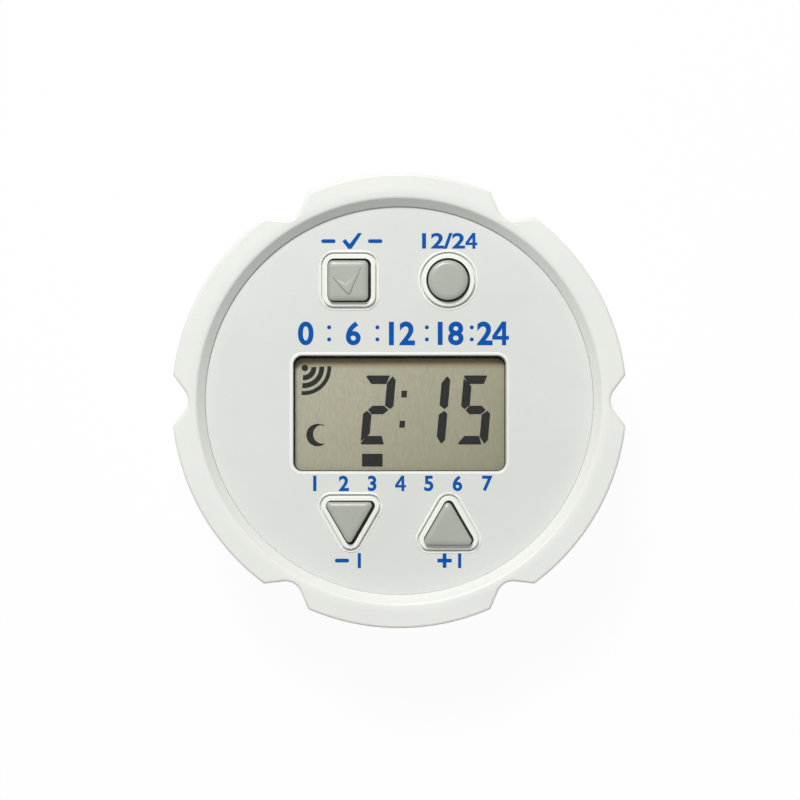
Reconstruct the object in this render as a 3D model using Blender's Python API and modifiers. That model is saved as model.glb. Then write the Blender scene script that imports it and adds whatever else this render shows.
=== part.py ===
"""Timer pill bottle cap: a round screw cap for a wide-mouth bottle with a clock in its top.

The cap shell has six grip scallops and a raised rim. A face plate in the rim carries a small
liquid crystal display and four keys. Under it lie the display stack, the circuit board, a coin
cell behind a turn-to-lock cover, a sounder disc and a sprung plunger, which the bottle's lip
pushes up when the cap is screwed down. Everything is in metres. The skirt's foot stands on
z = 0, +Z runs up out of the face, and +Y is the top edge of the display.
"""

import math

import bmesh
import bpy
from mathutils import Vector

# Clearances
SEAT_GAP = 0.0002
SLIDE_GAP = 0.00022
RUN_GAP = 0.00025
OVERRUN = 0.002
BITE = 0.0003
WELD = 0.000001
MERGE = 0.00001

# Heights of the stack, from the foot of the skirt up to the rim
NECK_DEPTH = 0.0092
LINER_THICKNESS = 0.0010
PARTITION_THICKNESS = 0.0018
TAB_THICKNESS = 0.00075
COVER_FLANGE_THICKNESS = 0.00095
CELL_THICKNESS = 0.0032
CONTACT_SPACE = 0.0007
BOARD_THICKNESS = 0.0010
HOLDER_FLOOR = 0.0008
FILM_THICKNESS = 0.0002
GLASS_THICKNESS = 0.00085
LENS_GAP = 0.0003
LENS_THICKNESS = 0.0008
WINDOW_LIP = 0.0006
FACE_PLATE_THICKNESS = 0.0014
RIM_RISE = 0.0020

# Window, glass and holder of the display
WINDOW_WIDTH = 0.02807
WINDOW_HEIGHT = 0.0152
WINDOW_CORNER = 0.00113
DISPLAY_DROP = 0.0017
GLASS_SIDE_BORDER = 0.001465
GLASS_LEDGE = 0.0020
LENS_BORDER = 0.0010
HOLDER_WALL = 0.0008
STRIP_WIDTH = 0.0013

# Keys: each outline is a regular polygon whose corners are rounded
KEY_COLUMN = 0.0065
TITLE_BAND = 0.00985
DAY_BAND = 0.00693
SQUARE_KEY_WIDTH = 0.00525
SQUARE_KEY_CORNER = 0.0006
ROUND_KEY_WIDTH = 0.0053
TRIANGLE_KEY_CORE = 0.00295
TRIANGLE_KEY_CORNER = 0.00043
KEY_RISE = 0.0013
KEY_TRAVEL = 0.0008
KEY_EDGE_ROUND = 0.00045
KEY_FLANGE_WIDTH = 0.0006
KEY_FLANGE_THICKNESS = 0.0007
KEY_STEM_LENGTH = 0.0004
COLLAR_WIDTH = 0.00075
COLLAR_RISE = 0.00045
COLLAR_ROUND = 0.0002

# Rubber domes and their carbon pills
DOME_RADIUS = 0.0029
DOME_FOOT_THICKNESS = 0.0004
DOME_SKIRT_RADIUS = 0.0022
DOME_TOP_RADIUS = 0.0017
DOME_TOP_THICKNESS = 0.0007
DOME_WALL = 0.0004
PILL_RADIUS = 0.0011
PILL_AIR = 0.0001

# Coin cell, its well and the cover
CELL_RADIUS = 0.0100
CELL_CAP_RADIUS = 0.0084
CELL_STEP = 0.0003
CELL_EDGE = 0.0004
CELL_SIDE_GAP = 0.0003
WELL_WALL = 0.0012
WELL_COLLAR_WALL = 0.0010
WELL_LEDGE = 0.0026
LEDGE_THICKNESS = 0.0009
TAB_LENGTH = 0.0010
TAB_ANGLE = math.radians(30.0)
NOTCH_ANGLE = math.radians(36.0)
COVER_TURN = math.radians(60.0)
COVER_SKIN = 0.0002
COIN_SLOT_LENGTH = 0.0150
COIN_SLOT_WIDTH = 0.0018
COIN_SLOT_DEPTH = 0.0008
SEAL_WIRE_RADIUS = 0.0003
SEAL_INSET = 0.0005
GROOVE_DEPTH = 0.00055
CONTACT_METAL = 0.0002
CONTACT_WIDTH = 0.0038
CONTACT_FOOT = 0.0032
CONTACT_LEG = 0.0024

# Screws
CASE_BOSS_RADIUS = 0.0019
CASE_SCREW_RADIUS = 0.00085
CASE_SCREW_LENGTH = 0.0062
CASE_HEAD_RADIUS = 0.0018
CASE_HEAD_HEIGHT = 0.00075
HEAD_SUNK = 0.0001
BOARD_POST_RADIUS = 0.0015
BOARD_SCREW_RADIUS = 0.0007
BOARD_SCREW_LENGTH = 0.0036
BOARD_HEAD_RADIUS = 0.0014
BOARD_HEAD_HEIGHT = 0.0007
SCREW_TIP = 0.0006
POST_SPACING = 0.0005
CROSS_LENGTH_SHARE = 1.2
CROSS_WIDTH_SHARE = 0.3
CROSS_DEPTH_SHARE = 0.6
CROSS_TAPER_SHARE = 0.8

# Lid plunger
PLUNGER_TRAVEL = 0.0013
PIN_RADIUS = 0.0010
PIN_ROUND = 0.0005
PLUNGER_FLANGE_RADIUS = 0.0019
PLUNGER_FLANGE_THICKNESS = 0.0009
PLUNGER_STEM_RADIUS = 0.0009
PLUNGER_PILL_THICKNESS = 0.0004
SPRING_RADIUS = 0.00155
SPRING_WIRE_RADIUS = 0.000175
SPRING_TURNS = 2.5
PLUNGER_ANGLE = math.radians(45.0)

# Board parts
CHIP_RADIUS = 0.0026
CHIP_HEIGHT = 0.0011
CHIP_ANGLE = math.radians(157.0)
CRYSTAL_RADIUS = 0.0010
CRYSTAL_LENGTH = 0.0060
CRYSTAL_ANGLE = math.radians(-35.0)
CAPACITOR_LENGTH = 0.0016
CAPACITOR_WIDTH = 0.0008
CAPACITOR_ANGLES = [math.radians(angle) for angle in (62.0, 76.0, 104.0)]
BUZZER_RADIUS = 0.0050
BUZZER_CERAMIC_RADIUS = 0.0035
BUZZER_METAL = 0.0003
BUZZER_ANGLE = math.radians(225.0)
LEAD_RADIUS = 0.0003
LEAD_SPREAD = 0.0030

# Cap shell
BOARD_MARGIN = 0.0025
BOARD_GAP = 0.0003
LEDGE_WIDTH = 0.0009
LEDGE_DEPTH = 0.0010
FACE_SEAT = 0.00115
SLOPE_RUN = 0.00135
SLOPE_ROUND = 0.0003
RIM_WIDTH = 0.0033
RIM_ROUND = 0.0004
SKIRT_WALL = 0.00125
FOOT_LEAD = 0.0004
LINER_LIP = 0.0017
SCALLOP_COUNT = 6
SCALLOP_DEPTH = 0.00215
SCALLOP_FLOOR_RADIUS = 0.0022
SCALLOP_FLANK_ANGLE = math.radians(40.0)
CORE_SLOT_WIDTH = 0.0010
CORE_SLOT_DEPTH = 0.0160
CORE_SLOT_ANGLE = math.radians(40.0)

# Facets
ROUND_STEPS = 48
SMALL_STEPS = 16
TINY_STEPS = 10
CORNER_STEPS = 3
CIRCLE_PHASE_SHARE = 0.37

# Places worked out from the sizes above, from the foot up
PARTITION_BOTTOM = NECK_DEPTH + LINER_THICKNESS + SEAT_GAP
PARTITION_TOP = PARTITION_BOTTOM + PARTITION_THICKNESS
COVER_FLANGE_BOTTOM = PARTITION_BOTTOM + TAB_THICKNESS + SEAT_GAP
COVER_TOP = COVER_FLANGE_BOTTOM + COVER_FLANGE_THICKNESS
LEDGE_BOTTOM = COVER_TOP + SEAT_GAP
CELL_BOTTOM = LEDGE_BOTTOM
CELL_TOP = CELL_BOTTOM + CELL_THICKNESS
BOARD_BOTTOM = CELL_TOP + CONTACT_SPACE
BOARD_TOP = BOARD_BOTTOM + BOARD_THICKNESS
HOLDER_BOTTOM = BOARD_TOP + SEAT_GAP
REFLECTOR_BOTTOM = HOLDER_BOTTOM + HOLDER_FLOOR + SEAT_GAP
GLASS_BOTTOM = REFLECTOR_BOTTOM + FILM_THICKNESS + SEAT_GAP
GLASS_SPLIT = GLASS_BOTTOM + GLASS_THICKNESS
GLASS_TOP = GLASS_SPLIT + GLASS_THICKNESS
POLARISER_BOTTOM = GLASS_TOP + SEAT_GAP
LENS_BOTTOM = POLARISER_BOTTOM + FILM_THICKNESS + LENS_GAP
LENS_TOP = LENS_BOTTOM + LENS_THICKNESS
FACE_TOP = LENS_TOP + SEAT_GAP + WINDOW_LIP
FACE_BOTTOM = FACE_TOP - FACE_PLATE_THICKNESS
RIM_TOP = FACE_TOP + RIM_RISE

# Places across the cap, from the display out to the skirt
WINDOW_TOP_Y = WINDOW_HEIGHT / 2 - DISPLAY_DROP
WINDOW_BOTTOM_Y = -WINDOW_HEIGHT / 2 - DISPLAY_DROP
UPPER_ROW_Y = WINDOW_TOP_Y + TITLE_BAND
LOWER_ROW_Y = WINDOW_BOTTOM_Y - DAY_BAND
GLASS_WIDTH = WINDOW_WIDTH + 2 * GLASS_SIDE_BORDER
GLASS_HEIGHT = WINDOW_HEIGHT + 2 * GLASS_LEDGE
HOLDER_WIDTH = GLASS_WIDTH + 2 * (SEAT_GAP + HOLDER_WALL)
HOLDER_HEIGHT = GLASS_HEIGHT + 2 * (SEAT_GAP + HOLDER_WALL)
WELL_RADIUS = CELL_RADIUS + CELL_SIDE_GAP
WELL_OUTER_RADIUS = WELL_RADIUS + WELL_WALL
COVER_HOLE_RADIUS = WELL_RADIUS + WELL_LEDGE
COVER_RADIUS = COVER_HOLE_RADIUS - RUN_GAP
COLLAR_RADIUS = COVER_HOLE_RADIUS + WELL_COLLAR_WALL
TAB_RADIUS = COVER_HOLE_RADIUS - TAB_LENGTH
NOTCH_RADIUS = TAB_RADIUS - COVER_SKIN
CASE_SCREW_CIRCLE = max(HOLDER_WIDTH / 2, COLLAR_RADIUS) + SEAT_GAP + CASE_BOSS_RADIUS
KEY_REACH = SQUARE_KEY_WIDTH / 2 + KEY_FLANGE_WIDTH
KEY_CORNER_REACH = math.hypot(KEY_COLUMN + KEY_REACH, UPPER_ROW_Y + KEY_REACH)
BOARD_RADIUS = max(
    KEY_CORNER_REACH + BOARD_MARGIN,
    CASE_SCREW_CIRCLE + CASE_BOSS_RADIUS + BOARD_MARGIN,
    COLLAR_RADIUS + 2 * BUZZER_RADIUS)
LEDGE_RADIUS = BOARD_RADIUS + BOARD_GAP
ROOM_RADIUS = LEDGE_RADIUS + LEDGE_WIDTH
FACE_RECESS_RADIUS = LEDGE_RADIUS + FACE_SEAT
FACE_RADIUS = FACE_RECESS_RADIUS - SEAT_GAP
RIM_INNER_RADIUS = FACE_RECESS_RADIUS + SLOPE_RUN
CAP_RADIUS = RIM_INNER_RADIUS + RIM_WIDTH
NECK_RADIUS = CAP_RADIUS - SCALLOP_DEPTH - SKIRT_WALL
CORE_SLOT_INNER = NECK_RADIUS + SKIRT_WALL
PLUNGER_CIRCLE = ROOM_RADIUS - PLUNGER_FLANGE_RADIUS - RUN_GAP
LINER_RADIUS = NECK_RADIUS - SEAT_GAP
LINER_INNER_RADIUS = PLUNGER_CIRCLE - LINER_LIP
POST_CIRCLE = BOARD_RADIUS - BOARD_HEAD_RADIUS - BOARD_POST_RADIUS


def clear_scene():
    """Start from an empty scene."""
    for item in list(bpy.data.objects):
        bpy.data.objects.remove(item, do_unlink=True)


def new_collection(name):
    """A named collection, linked to the scene."""
    group = bpy.data.collections.new(name)
    bpy.context.scene.collection.children.link(group)
    return group


clear_scene()
PARTS = new_collection("timer_pill_bottle_cap")
CUTTERS = new_collection("cutters_and_tools")


def new_material(name, colour, roughness, metallic=0.0, alpha=1.0):
    """A Principled BSDF material with a plain colour."""
    made = bpy.data.materials.new(name)
    made.use_nodes = True
    shader = made.node_tree.nodes["Principled BSDF"]
    shader.inputs["Base Color"].default_value = (*colour, 1.0)
    shader.inputs["Roughness"].default_value = roughness
    shader.inputs["Metallic"].default_value = metallic
    shader.inputs["Alpha"].default_value = alpha
    made.diffuse_color = (*colour, alpha)
    return made


WHITE_SHELL = new_material("white_shell_plastic", (0.84, 0.84, 0.80), 0.42)
PALE_FACE = new_material("pale_face_plastic", (0.75, 0.76, 0.73), 0.40)
GREY_KEY = new_material("grey_key_plastic", (0.39, 0.40, 0.36), 0.50)
CLEAR_LENS = new_material("clear_lens", (0.95, 0.96, 0.95), 0.05, alpha=0.3)
DISPLAY_GLASS = new_material("display_glass", (0.55, 0.56, 0.45), 0.08, alpha=0.5)
DISPLAY_FILM = new_material("display_film", (0.46, 0.45, 0.34), 0.30)
SILVER_FILM = new_material("silver_film", (0.62, 0.61, 0.52), 0.35, 0.6)
WHITE_HOLDER = new_material("white_holder_plastic", (0.80, 0.80, 0.78), 0.50)
PINK_RUBBER = new_material("contact_strip_rubber", (0.62, 0.35, 0.36), 0.70)
GREEN_BOARD = new_material("green_board", (0.03, 0.20, 0.09), 0.40)
BLACK_RESIN = new_material("black_resin", (0.02, 0.02, 0.02), 0.35)
STEEL = new_material("bright_steel", (0.60, 0.60, 0.60), 0.28, 1.0)
CERAMIC = new_material("tan_ceramic", (0.45, 0.33, 0.20), 0.50)
GREY_RUBBER = new_material("translucent_rubber", (0.62, 0.62, 0.60), 0.60)
CARBON = new_material("black_carbon", (0.02, 0.02, 0.02), 0.80)
BRASS = new_material("brass", (0.72, 0.53, 0.22), 0.30, 1.0)
WHITE_FOAM = new_material("white_foam", (0.82, 0.82, 0.80), 0.90)
BLACK_RUBBER = new_material("black_rubber", (0.03, 0.03, 0.03), 0.70)
RED_WIRE = new_material("red_wire", (0.55, 0.03, 0.02), 0.50)
BLACK_WIRE = new_material("black_wire", (0.02, 0.02, 0.02), 0.50)


def polar(radius, angle):
    """The x and y of a point at a radius and an angle."""
    return radius * math.cos(angle), radius * math.sin(angle)


def circle(radius, steps, centre=(0.0, 0.0)):
    """Points of a circle, turned a little so that no corner lies on the cap's main axes."""
    turn = 2 * math.pi / steps
    points = [polar(radius, turn * (step + CIRCLE_PHASE_SHARE)) for step in range(steps)]
    return [(centre[0] + x, centre[1] + y) for x, y in points]


def rounded_polygon(sides, core_radius, corner, turn, steps, centre=(0.0, 0.0)):
    """A regular polygon grown by a corner radius; one side and no core give a circle."""
    points = []
    half = math.pi / sides
    for side in range(sides):
        middle = turn + 2 * half * side
        x, y = polar(core_radius, middle)
        last = steps if sides > 1 else steps - 1
        for step in range(last + 1):
            offset_x, offset_y = polar(corner, middle - half + 2 * half * step / steps)
            points.append((centre[0] + x + offset_x, centre[1] + y + offset_y))
    return points


def rounded_box(width, height, corner, centre=(0.0, 0.0)):
    """A rectangle with round corners."""
    points = []
    quarter = math.pi / 2
    across, up = width / 2 - corner, height / 2 - corner
    for side, (x, y) in enumerate([(across, up), (-across, up), (-across, -up), (across, -up)]):
        for step in range(CORNER_STEPS + 1):
            offset_x, offset_y = polar(corner, quarter * (side + step / CORNER_STEPS))
            points.append((centre[0] + x + offset_x, centre[1] + y + offset_y))
    return points


def sector(inner, outer, middle, spread, steps):
    """A piece of a ring between two radii, about a middle angle."""
    angles = [middle - spread / 2 + spread * step / steps for step in range(steps + 1)]
    outside = [polar(outer, angle) for angle in angles]
    inside = [polar(inner, angle) for angle in reversed(angles)]
    return outside + inside


def finish_object(name, mesh, group, material):
    """Link a mesh as a named object, with its material and smooth round faces."""
    made = bpy.data.objects.new(name, mesh)
    group.objects.link(made)
    if material is not None:
        mesh.materials.append(material)
    mesh.shade_smooth()
    mesh.set_sharp_from_angle(angle=math.radians(35.0))
    return made


def hide_tool(made):
    """Mark a cutter, or a lump that is joined to another piece."""
    made.hide_render = True
    made.display_type = "WIRE"
    return made


def welded_curves(name, curves, group, material, location):
    """Turn curves into one welded mesh object at a place."""
    shape = bmesh.new()
    for curve in curves:
        holder = bpy.data.objects.new(name + "_curve", curve)
        group.objects.link(holder)
        bpy.context.view_layer.update()
        graph = bpy.context.evaluated_depsgraph_get()
        mesh = bpy.data.meshes.new_from_object(holder.evaluated_get(graph))
        shape.from_mesh(mesh)
        bpy.data.objects.remove(holder, do_unlink=True)
        bpy.data.meshes.remove(mesh)
    bmesh.ops.remove_doubles(shape, verts=shape.verts, dist=WELD)
    bmesh.ops.recalc_face_normals(shape, faces=shape.faces)
    welded = bpy.data.meshes.new(name)
    shape.to_mesh(welded)
    shape.free()
    made = finish_object(name, welded, group, material)
    made.location = location
    return made


def outline_curve(name, loop, thickness):
    """A flat closed curve with its inside filled, drawn out to a thickness."""
    curve = bpy.data.curves.new(name, "CURVE")
    curve.dimensions = "2D"
    curve.fill_mode = "BOTH"
    curve.extrude = thickness / 2
    spline = curve.splines.new("POLY")
    spline.points.add(len(loop) - 1)
    for point, (x, y) in zip(spline.points, loop):
        point.co = (x, y, 0.0, 1.0)
    spline.use_cyclic_u = True
    return curve


def plate(name, loops, low, high, group=PARTS, material=None, place=(0.0, 0.0)):
    """A flat piece between two heights, with one or more outlines that lie apart."""
    curves = [outline_curve(name, loop, high - low) for loop in loops]
    return welded_curves(name, curves, group, material, (*place, (low + high) / 2))


def tool_plate(name, loops, low, high, place=(0.0, 0.0)):
    """A hidden plate that cuts or joins."""
    return hide_tool(plate(name, loops, low, high, CUTTERS, None, place))


def turned(name, profile, steps, group=PARTS, material=None, closed=False, place=(0.0, 0.0)):
    """A turned piece; its profile of (radius, height) runs down the outer side."""
    mesh = bpy.data.meshes.new(name)
    points = [(radius, 0.0, height) for radius, height in profile]
    edges = [(step, step + 1) for step in range(len(points) - 1)]
    if closed:
        edges.append((len(points) - 1, 0))
    mesh.from_pydata(points, edges, [])
    made = finish_object(name, mesh, group, material)
    made.location = (*place, 0.0)
    screw = made.modifiers.new("turn", "SCREW")
    screw.axis = "Z"
    screw.angle = 2 * math.pi
    screw.steps = steps
    screw.render_steps = steps
    screw.use_merge_vertices = True
    screw.merge_threshold = MERGE
    screw.use_smooth_shade = True
    return made


def combine(made, tool, operation):
    """Cut a tool out of a piece, or join it on."""
    step = made.modifiers.new(operation.lower() + "_" + tool.name, "BOOLEAN")
    step.operation = operation
    step.object = tool
    step.solver = "EXACT"


def bevel_rims(made, width, segments):
    """Round the sharp rims of a plate."""
    step = made.modifiers.new("rim_round", "BEVEL")
    step.width = width
    step.segments = segments
    step.limit_method = "ANGLE"
    step.angle_limit = math.radians(60.0)


def tube(name, points, radius, resolution, material):
    """A round wire through points, with closed ends."""
    curve = bpy.data.curves.new(name, "CURVE")
    curve.dimensions = "3D"
    curve.bevel_depth = radius
    curve.bevel_resolution = resolution
    curve.use_fill_caps = True
    spline = curve.splines.new("POLY")
    spline.points.add(len(points) - 1)
    for point, place in zip(spline.points, points):
        point.co = (*place, 1.0)
    return welded_curves(name, [curve], PARTS, material, (0.0, 0.0, 0.0))


def formed_strip(name, path, width, thickness, material):
    """A bent metal strip: its (x, z) path drawn out along Y and thickened."""
    shape = bmesh.new()
    near = [shape.verts.new((x, -width / 2, z)) for x, z in path]
    runs = [shape.edges.new(pair) for pair in zip(near, near[1:])]
    drawn = bmesh.ops.extrude_edge_only(shape, edges=runs)["geom"]
    far = [item for item in drawn if isinstance(item, bmesh.types.BMVert)]
    bmesh.ops.translate(shape, verts=far, vec=(0.0, width, 0.0))
    mesh = bpy.data.meshes.new(name)
    shape.to_mesh(mesh)
    shape.free()
    made = finish_object(name, mesh, PARTS, material)
    solid = made.modifiers.new("thickness", "SOLIDIFY")
    solid.thickness = thickness
    solid.offset = 0.0
    solid.use_even_offset = True
    return made


def scalloped_outline():
    """The cap seen from above: a circle with six scallops, each a round floor and two flanks."""
    half_floor = SCALLOP_FLOOR_RADIUS * math.sin(SCALLOP_FLANK_ANGLE)
    floor_top = SCALLOP_DEPTH - SCALLOP_FLOOR_RADIUS * (1 - math.cos(SCALLOP_FLANK_ANGLE))
    half_mouth = half_floor + floor_top / math.tan(SCALLOP_FLANK_ANGLE)
    mouth = math.asin(half_mouth / CAP_RADIUS)
    pitch = 2 * math.pi / SCALLOP_COUNT
    lobe_steps = ROUND_STEPS // SCALLOP_COUNT
    floor_steps = 2 * CORNER_STEPS
    points = []
    for scallop in range(SCALLOP_COUNT):
        middle = pitch * scallop
        for step in range(floor_steps + 1):
            lean = SCALLOP_FLANK_ANGLE * (2 * step / floor_steps - 1)
            side = SCALLOP_FLOOR_RADIUS * math.sin(lean)
            depth = SCALLOP_DEPTH - SCALLOP_FLOOR_RADIUS * (1 - math.cos(lean))
            x, y = CAP_RADIUS - depth, side
            points.append((x * math.cos(middle) - y * math.sin(middle),
                           x * math.sin(middle) + y * math.cos(middle)))
        for step in range(lobe_steps + 1):
            angle = middle + mouth + (pitch - 2 * mouth) * step / lobe_steps
            points.append(polar(CAP_RADIUS, angle))
    return points


def shell_interior():
    """Everything that is hollow in the shell, as one turned cutter from rim to foot."""
    top = RIM_TOP + OVERRUN
    profile = [
        (0.0, top),
        (RIM_INNER_RADIUS + SLOPE_ROUND, top),
        (RIM_INNER_RADIUS + SLOPE_ROUND, RIM_TOP),
        (RIM_INNER_RADIUS, RIM_TOP - SLOPE_ROUND / 2),
        (FACE_RECESS_RADIUS, FACE_TOP),
        (FACE_RECESS_RADIUS, FACE_BOTTOM - SEAT_GAP),
        (LEDGE_RADIUS, FACE_BOTTOM - SEAT_GAP),
        (LEDGE_RADIUS, FACE_BOTTOM - SEAT_GAP - LEDGE_DEPTH),
        (ROOM_RADIUS, FACE_BOTTOM - SEAT_GAP - LEDGE_DEPTH - LEDGE_WIDTH),
        (ROOM_RADIUS, PARTITION_TOP),
        (COLLAR_RADIUS, PARTITION_TOP),
        (COLLAR_RADIUS, LEDGE_BOTTOM + LEDGE_THICKNESS),
        (WELL_OUTER_RADIUS, LEDGE_BOTTOM + LEDGE_THICKNESS),
        (WELL_OUTER_RADIUS, CELL_TOP - SEAT_GAP),
        (WELL_RADIUS, CELL_TOP - SEAT_GAP),
        (WELL_RADIUS, LEDGE_BOTTOM),
        (COVER_HOLE_RADIUS, LEDGE_BOTTOM),
        (COVER_HOLE_RADIUS, PARTITION_BOTTOM),
        (NECK_RADIUS, PARTITION_BOTTOM),
        (NECK_RADIUS, FOOT_LEAD),
        (NECK_RADIUS + FOOT_LEAD, 0.0),
        (NECK_RADIUS + FOOT_LEAD, -OVERRUN),
        (0.0, -OVERRUN),
    ]
    return hide_tool(turned("shell_interior", profile, ROUND_STEPS, CUTTERS))


def case_screw_places():
    """Centres of the four case screws, on the cap's main axes."""
    return [polar(CASE_SCREW_CIRCLE, math.pi / 2 * number) for number in range(4)]


def board_screw_places():
    """Centres of the four board screws, above and below the display holder."""
    drop = HOLDER_HEIGHT / 2 + POST_SPACING + BOARD_POST_RADIUS
    places = []
    for y in (drop - DISPLAY_DROP, -drop - DISPLAY_DROP):
        x = math.sqrt(POST_CIRCLE ** 2 - y ** 2)
        places += [(x, y), (-x, y)]
    return places


def cover_lock_angles():
    """Directions of the three tabs that hold the battery cover."""
    return [math.pi / 2 + 2 * math.pi / 3 * number for number in range(3)]


def make_cap_shell():
    """The outer moulding: scalloped skirt, raised rim, partition and battery well."""
    shell = plate("cap_shell", [scalloped_outline()], 0.0, RIM_TOP, PARTS, WHITE_SHELL)
    bevel_rims(shell, RIM_ROUND, 2)
    combine(shell, shell_interior(), "DIFFERENCE")
    tabs = [sector(TAB_RADIUS, COVER_HOLE_RADIUS + BITE, angle, TAB_ANGLE, CORNER_STEPS)
            for angle in cover_lock_angles()]
    combine(shell, tool_plate("cover_tabs", tabs, PARTITION_BOTTOM,
                              PARTITION_BOTTOM + TAB_THICKNESS), "UNION")
    sinks = [circle(CASE_HEAD_RADIUS + RUN_GAP, SMALL_STEPS, place)
             for place in case_screw_places()]
    combine(shell, tool_plate("screw_head_sinks", sinks, PARTITION_BOTTOM - OVERRUN,
                              PARTITION_BOTTOM + HEAD_SUNK + CASE_HEAD_HEIGHT + SEAT_GAP),
            "DIFFERENCE")
    holes = [circle(CASE_SCREW_RADIUS + RUN_GAP, TINY_STEPS, place)
             for place in case_screw_places()]
    holes.append(circle(PIN_RADIUS + RUN_GAP, SMALL_STEPS, polar(PLUNGER_CIRCLE, PLUNGER_ANGLE)))
    combine(shell, tool_plate("partition_holes", holes, PARTITION_BOTTOM - OVERRUN,
                              PARTITION_TOP + OVERRUN), "DIFFERENCE")
    notch_middle = (WELL_RADIUS + WELL_OUTER_RADIUS) / 2
    notch = rounded_box(WELL_WALL + OVERRUN, CONTACT_WIDTH + 2 * RUN_GAP, BITE,
                        (notch_middle, 0.0))
    combine(shell, tool_plate("contact_notch", [notch], CELL_TOP - CONTACT_LEG - RUN_GAP,
                              CELL_TOP + OVERRUN), "DIFFERENCE")
    pitch = 2 * math.pi / SCALLOP_COUNT
    slots = [sector(CORE_SLOT_INNER, CORE_SLOT_INNER + CORE_SLOT_WIDTH,
                    pitch * (lobe + 0.5), CORE_SLOT_ANGLE, 2 * CORNER_STEPS)
             for lobe in range(SCALLOP_COUNT)]
    combine(shell, tool_plate("lobe_core_slots", slots, -OVERRUN, CORE_SLOT_DEPTH), "DIFFERENCE")
    return shell


def key_list():
    """Name, sides, core radius, corner radius, turn and centre of each key."""
    square_core = (SQUARE_KEY_WIDTH / 2 - SQUARE_KEY_CORNER) * math.sqrt(2)
    lift = TRIANGLE_KEY_CORE / 4
    up = math.pi / 2
    return [
        ("check", 4, square_core, SQUARE_KEY_CORNER, up / 2, (-KEY_COLUMN, UPPER_ROW_Y)),
        ("mode", 1, 0.0, ROUND_KEY_WIDTH / 2, up, (KEY_COLUMN, UPPER_ROW_Y)),
        ("down", 3, TRIANGLE_KEY_CORE, TRIANGLE_KEY_CORNER, -up, (-KEY_COLUMN, LOWER_ROW_Y + lift)),
        ("up", 3, TRIANGLE_KEY_CORE, TRIANGLE_KEY_CORNER, up, (KEY_COLUMN, LOWER_ROW_Y - lift)),
    ]


def key_outline(key, growth, centre=(0.0, 0.0)):
    """The outline of a key, grown all round by a distance."""
    _, sides, core, corner, turn, _ = key
    steps = SMALL_STEPS if sides == 1 else CORNER_STEPS
    return rounded_polygon(sides, core, corner + growth, turn, steps, centre)


def make_face_plate():
    """The inset face: window, key collars, screw bosses and board posts."""
    window = rounded_box(WINDOW_WIDTH, WINDOW_HEIGHT, WINDOW_CORNER, (0.0, -DISPLAY_DROP))
    face = plate("face_plate", [circle(FACE_RADIUS, ROUND_STEPS)], FACE_BOTTOM, FACE_TOP, PARTS,
                 PALE_FACE)
    rims = [key_outline(key, SLIDE_GAP + COLLAR_WIDTH, key[-1]) for key in key_list()]
    collars = tool_plate("key_collars", rims, FACE_BOTTOM + BITE, FACE_TOP + COLLAR_RISE)
    bevel_rims(collars, COLLAR_ROUND, 2)
    combine(face, collars, "UNION")
    bosses = [circle(CASE_BOSS_RADIUS, SMALL_STEPS, place) for place in case_screw_places()]
    combine(face, tool_plate("case_bosses", bosses, PARTITION_TOP + SEAT_GAP,
                             FACE_BOTTOM + BITE), "UNION")
    posts = [circle(BOARD_POST_RADIUS, SMALL_STEPS, place) for place in board_screw_places()]
    combine(face, tool_plate("board_posts", posts, BOARD_TOP + SEAT_GAP,
                             FACE_BOTTOM + BITE), "UNION")
    openings = [key_outline(key, SLIDE_GAP, key[-1]) for key in key_list()]
    combine(face, tool_plate("face_openings", openings, FACE_BOTTOM - OVERRUN,
                             FACE_TOP + COLLAR_RISE + OVERRUN), "DIFFERENCE")
    rebate = rounded_box(WINDOW_WIDTH + 2 * (LENS_BORDER + SEAT_GAP),
                         WINDOW_HEIGHT + 2 * (LENS_BORDER + SEAT_GAP),
                         WINDOW_CORNER + LENS_BORDER, (0.0, -DISPLAY_DROP))
    combine(face, tool_plate("lens_rebate", [rebate], FACE_BOTTOM - OVERRUN,
                             LENS_TOP + SEAT_GAP), "DIFFERENCE")
    combine(face, tool_plate("window_opening", [window], LENS_TOP - BITE, FACE_TOP + OVERRUN),
            "DIFFERENCE")
    case_bores = [circle(CASE_SCREW_RADIUS + SEAT_GAP, TINY_STEPS, place)
                  for place in case_screw_places()]
    case_screw_top = PARTITION_BOTTOM + HEAD_SUNK + CASE_HEAD_HEIGHT + CASE_SCREW_LENGTH
    combine(face, tool_plate("case_bores", case_bores, PARTITION_TOP - OVERRUN,
                             case_screw_top + SEAT_GAP), "DIFFERENCE")
    board_bores = [circle(BOARD_SCREW_RADIUS + SEAT_GAP, TINY_STEPS, place)
                   for place in board_screw_places()]
    combine(face, tool_plate("board_bores", board_bores, BOARD_TOP,
                             BOARD_BOTTOM - SEAT_GAP + BOARD_SCREW_LENGTH + SEAT_GAP),
            "DIFFERENCE")
    return face


def make_display():
    """Clear lens, polariser, glass, reflector, holder and the two rubber contact strips."""
    centre = (0.0, -DISPLAY_DROP)
    lens = rounded_box(WINDOW_WIDTH + 2 * LENS_BORDER, WINDOW_HEIGHT + 2 * LENS_BORDER,
                       WINDOW_CORNER + LENS_BORDER)
    plate("display_lens", [lens], LENS_BOTTOM, LENS_TOP, PARTS, CLEAR_LENS, centre)
    film = rounded_box(GLASS_WIDTH, WINDOW_HEIGHT + LENS_BORDER, BITE)
    plate("lcd_front_polariser", [film], POLARISER_BOTTOM, POLARISER_BOTTOM + FILM_THICKNESS,
          PARTS, DISPLAY_FILM, centre)
    backing = rounded_box(GLASS_WIDTH, WINDOW_HEIGHT, BITE)
    plate("lcd_reflector", [backing], REFLECTOR_BOTTOM, REFLECTOR_BOTTOM + FILM_THICKNESS,
          PARTS, SILVER_FILM, centre)
    make_display_glass(centre)
    make_display_holder(centre)


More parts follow.
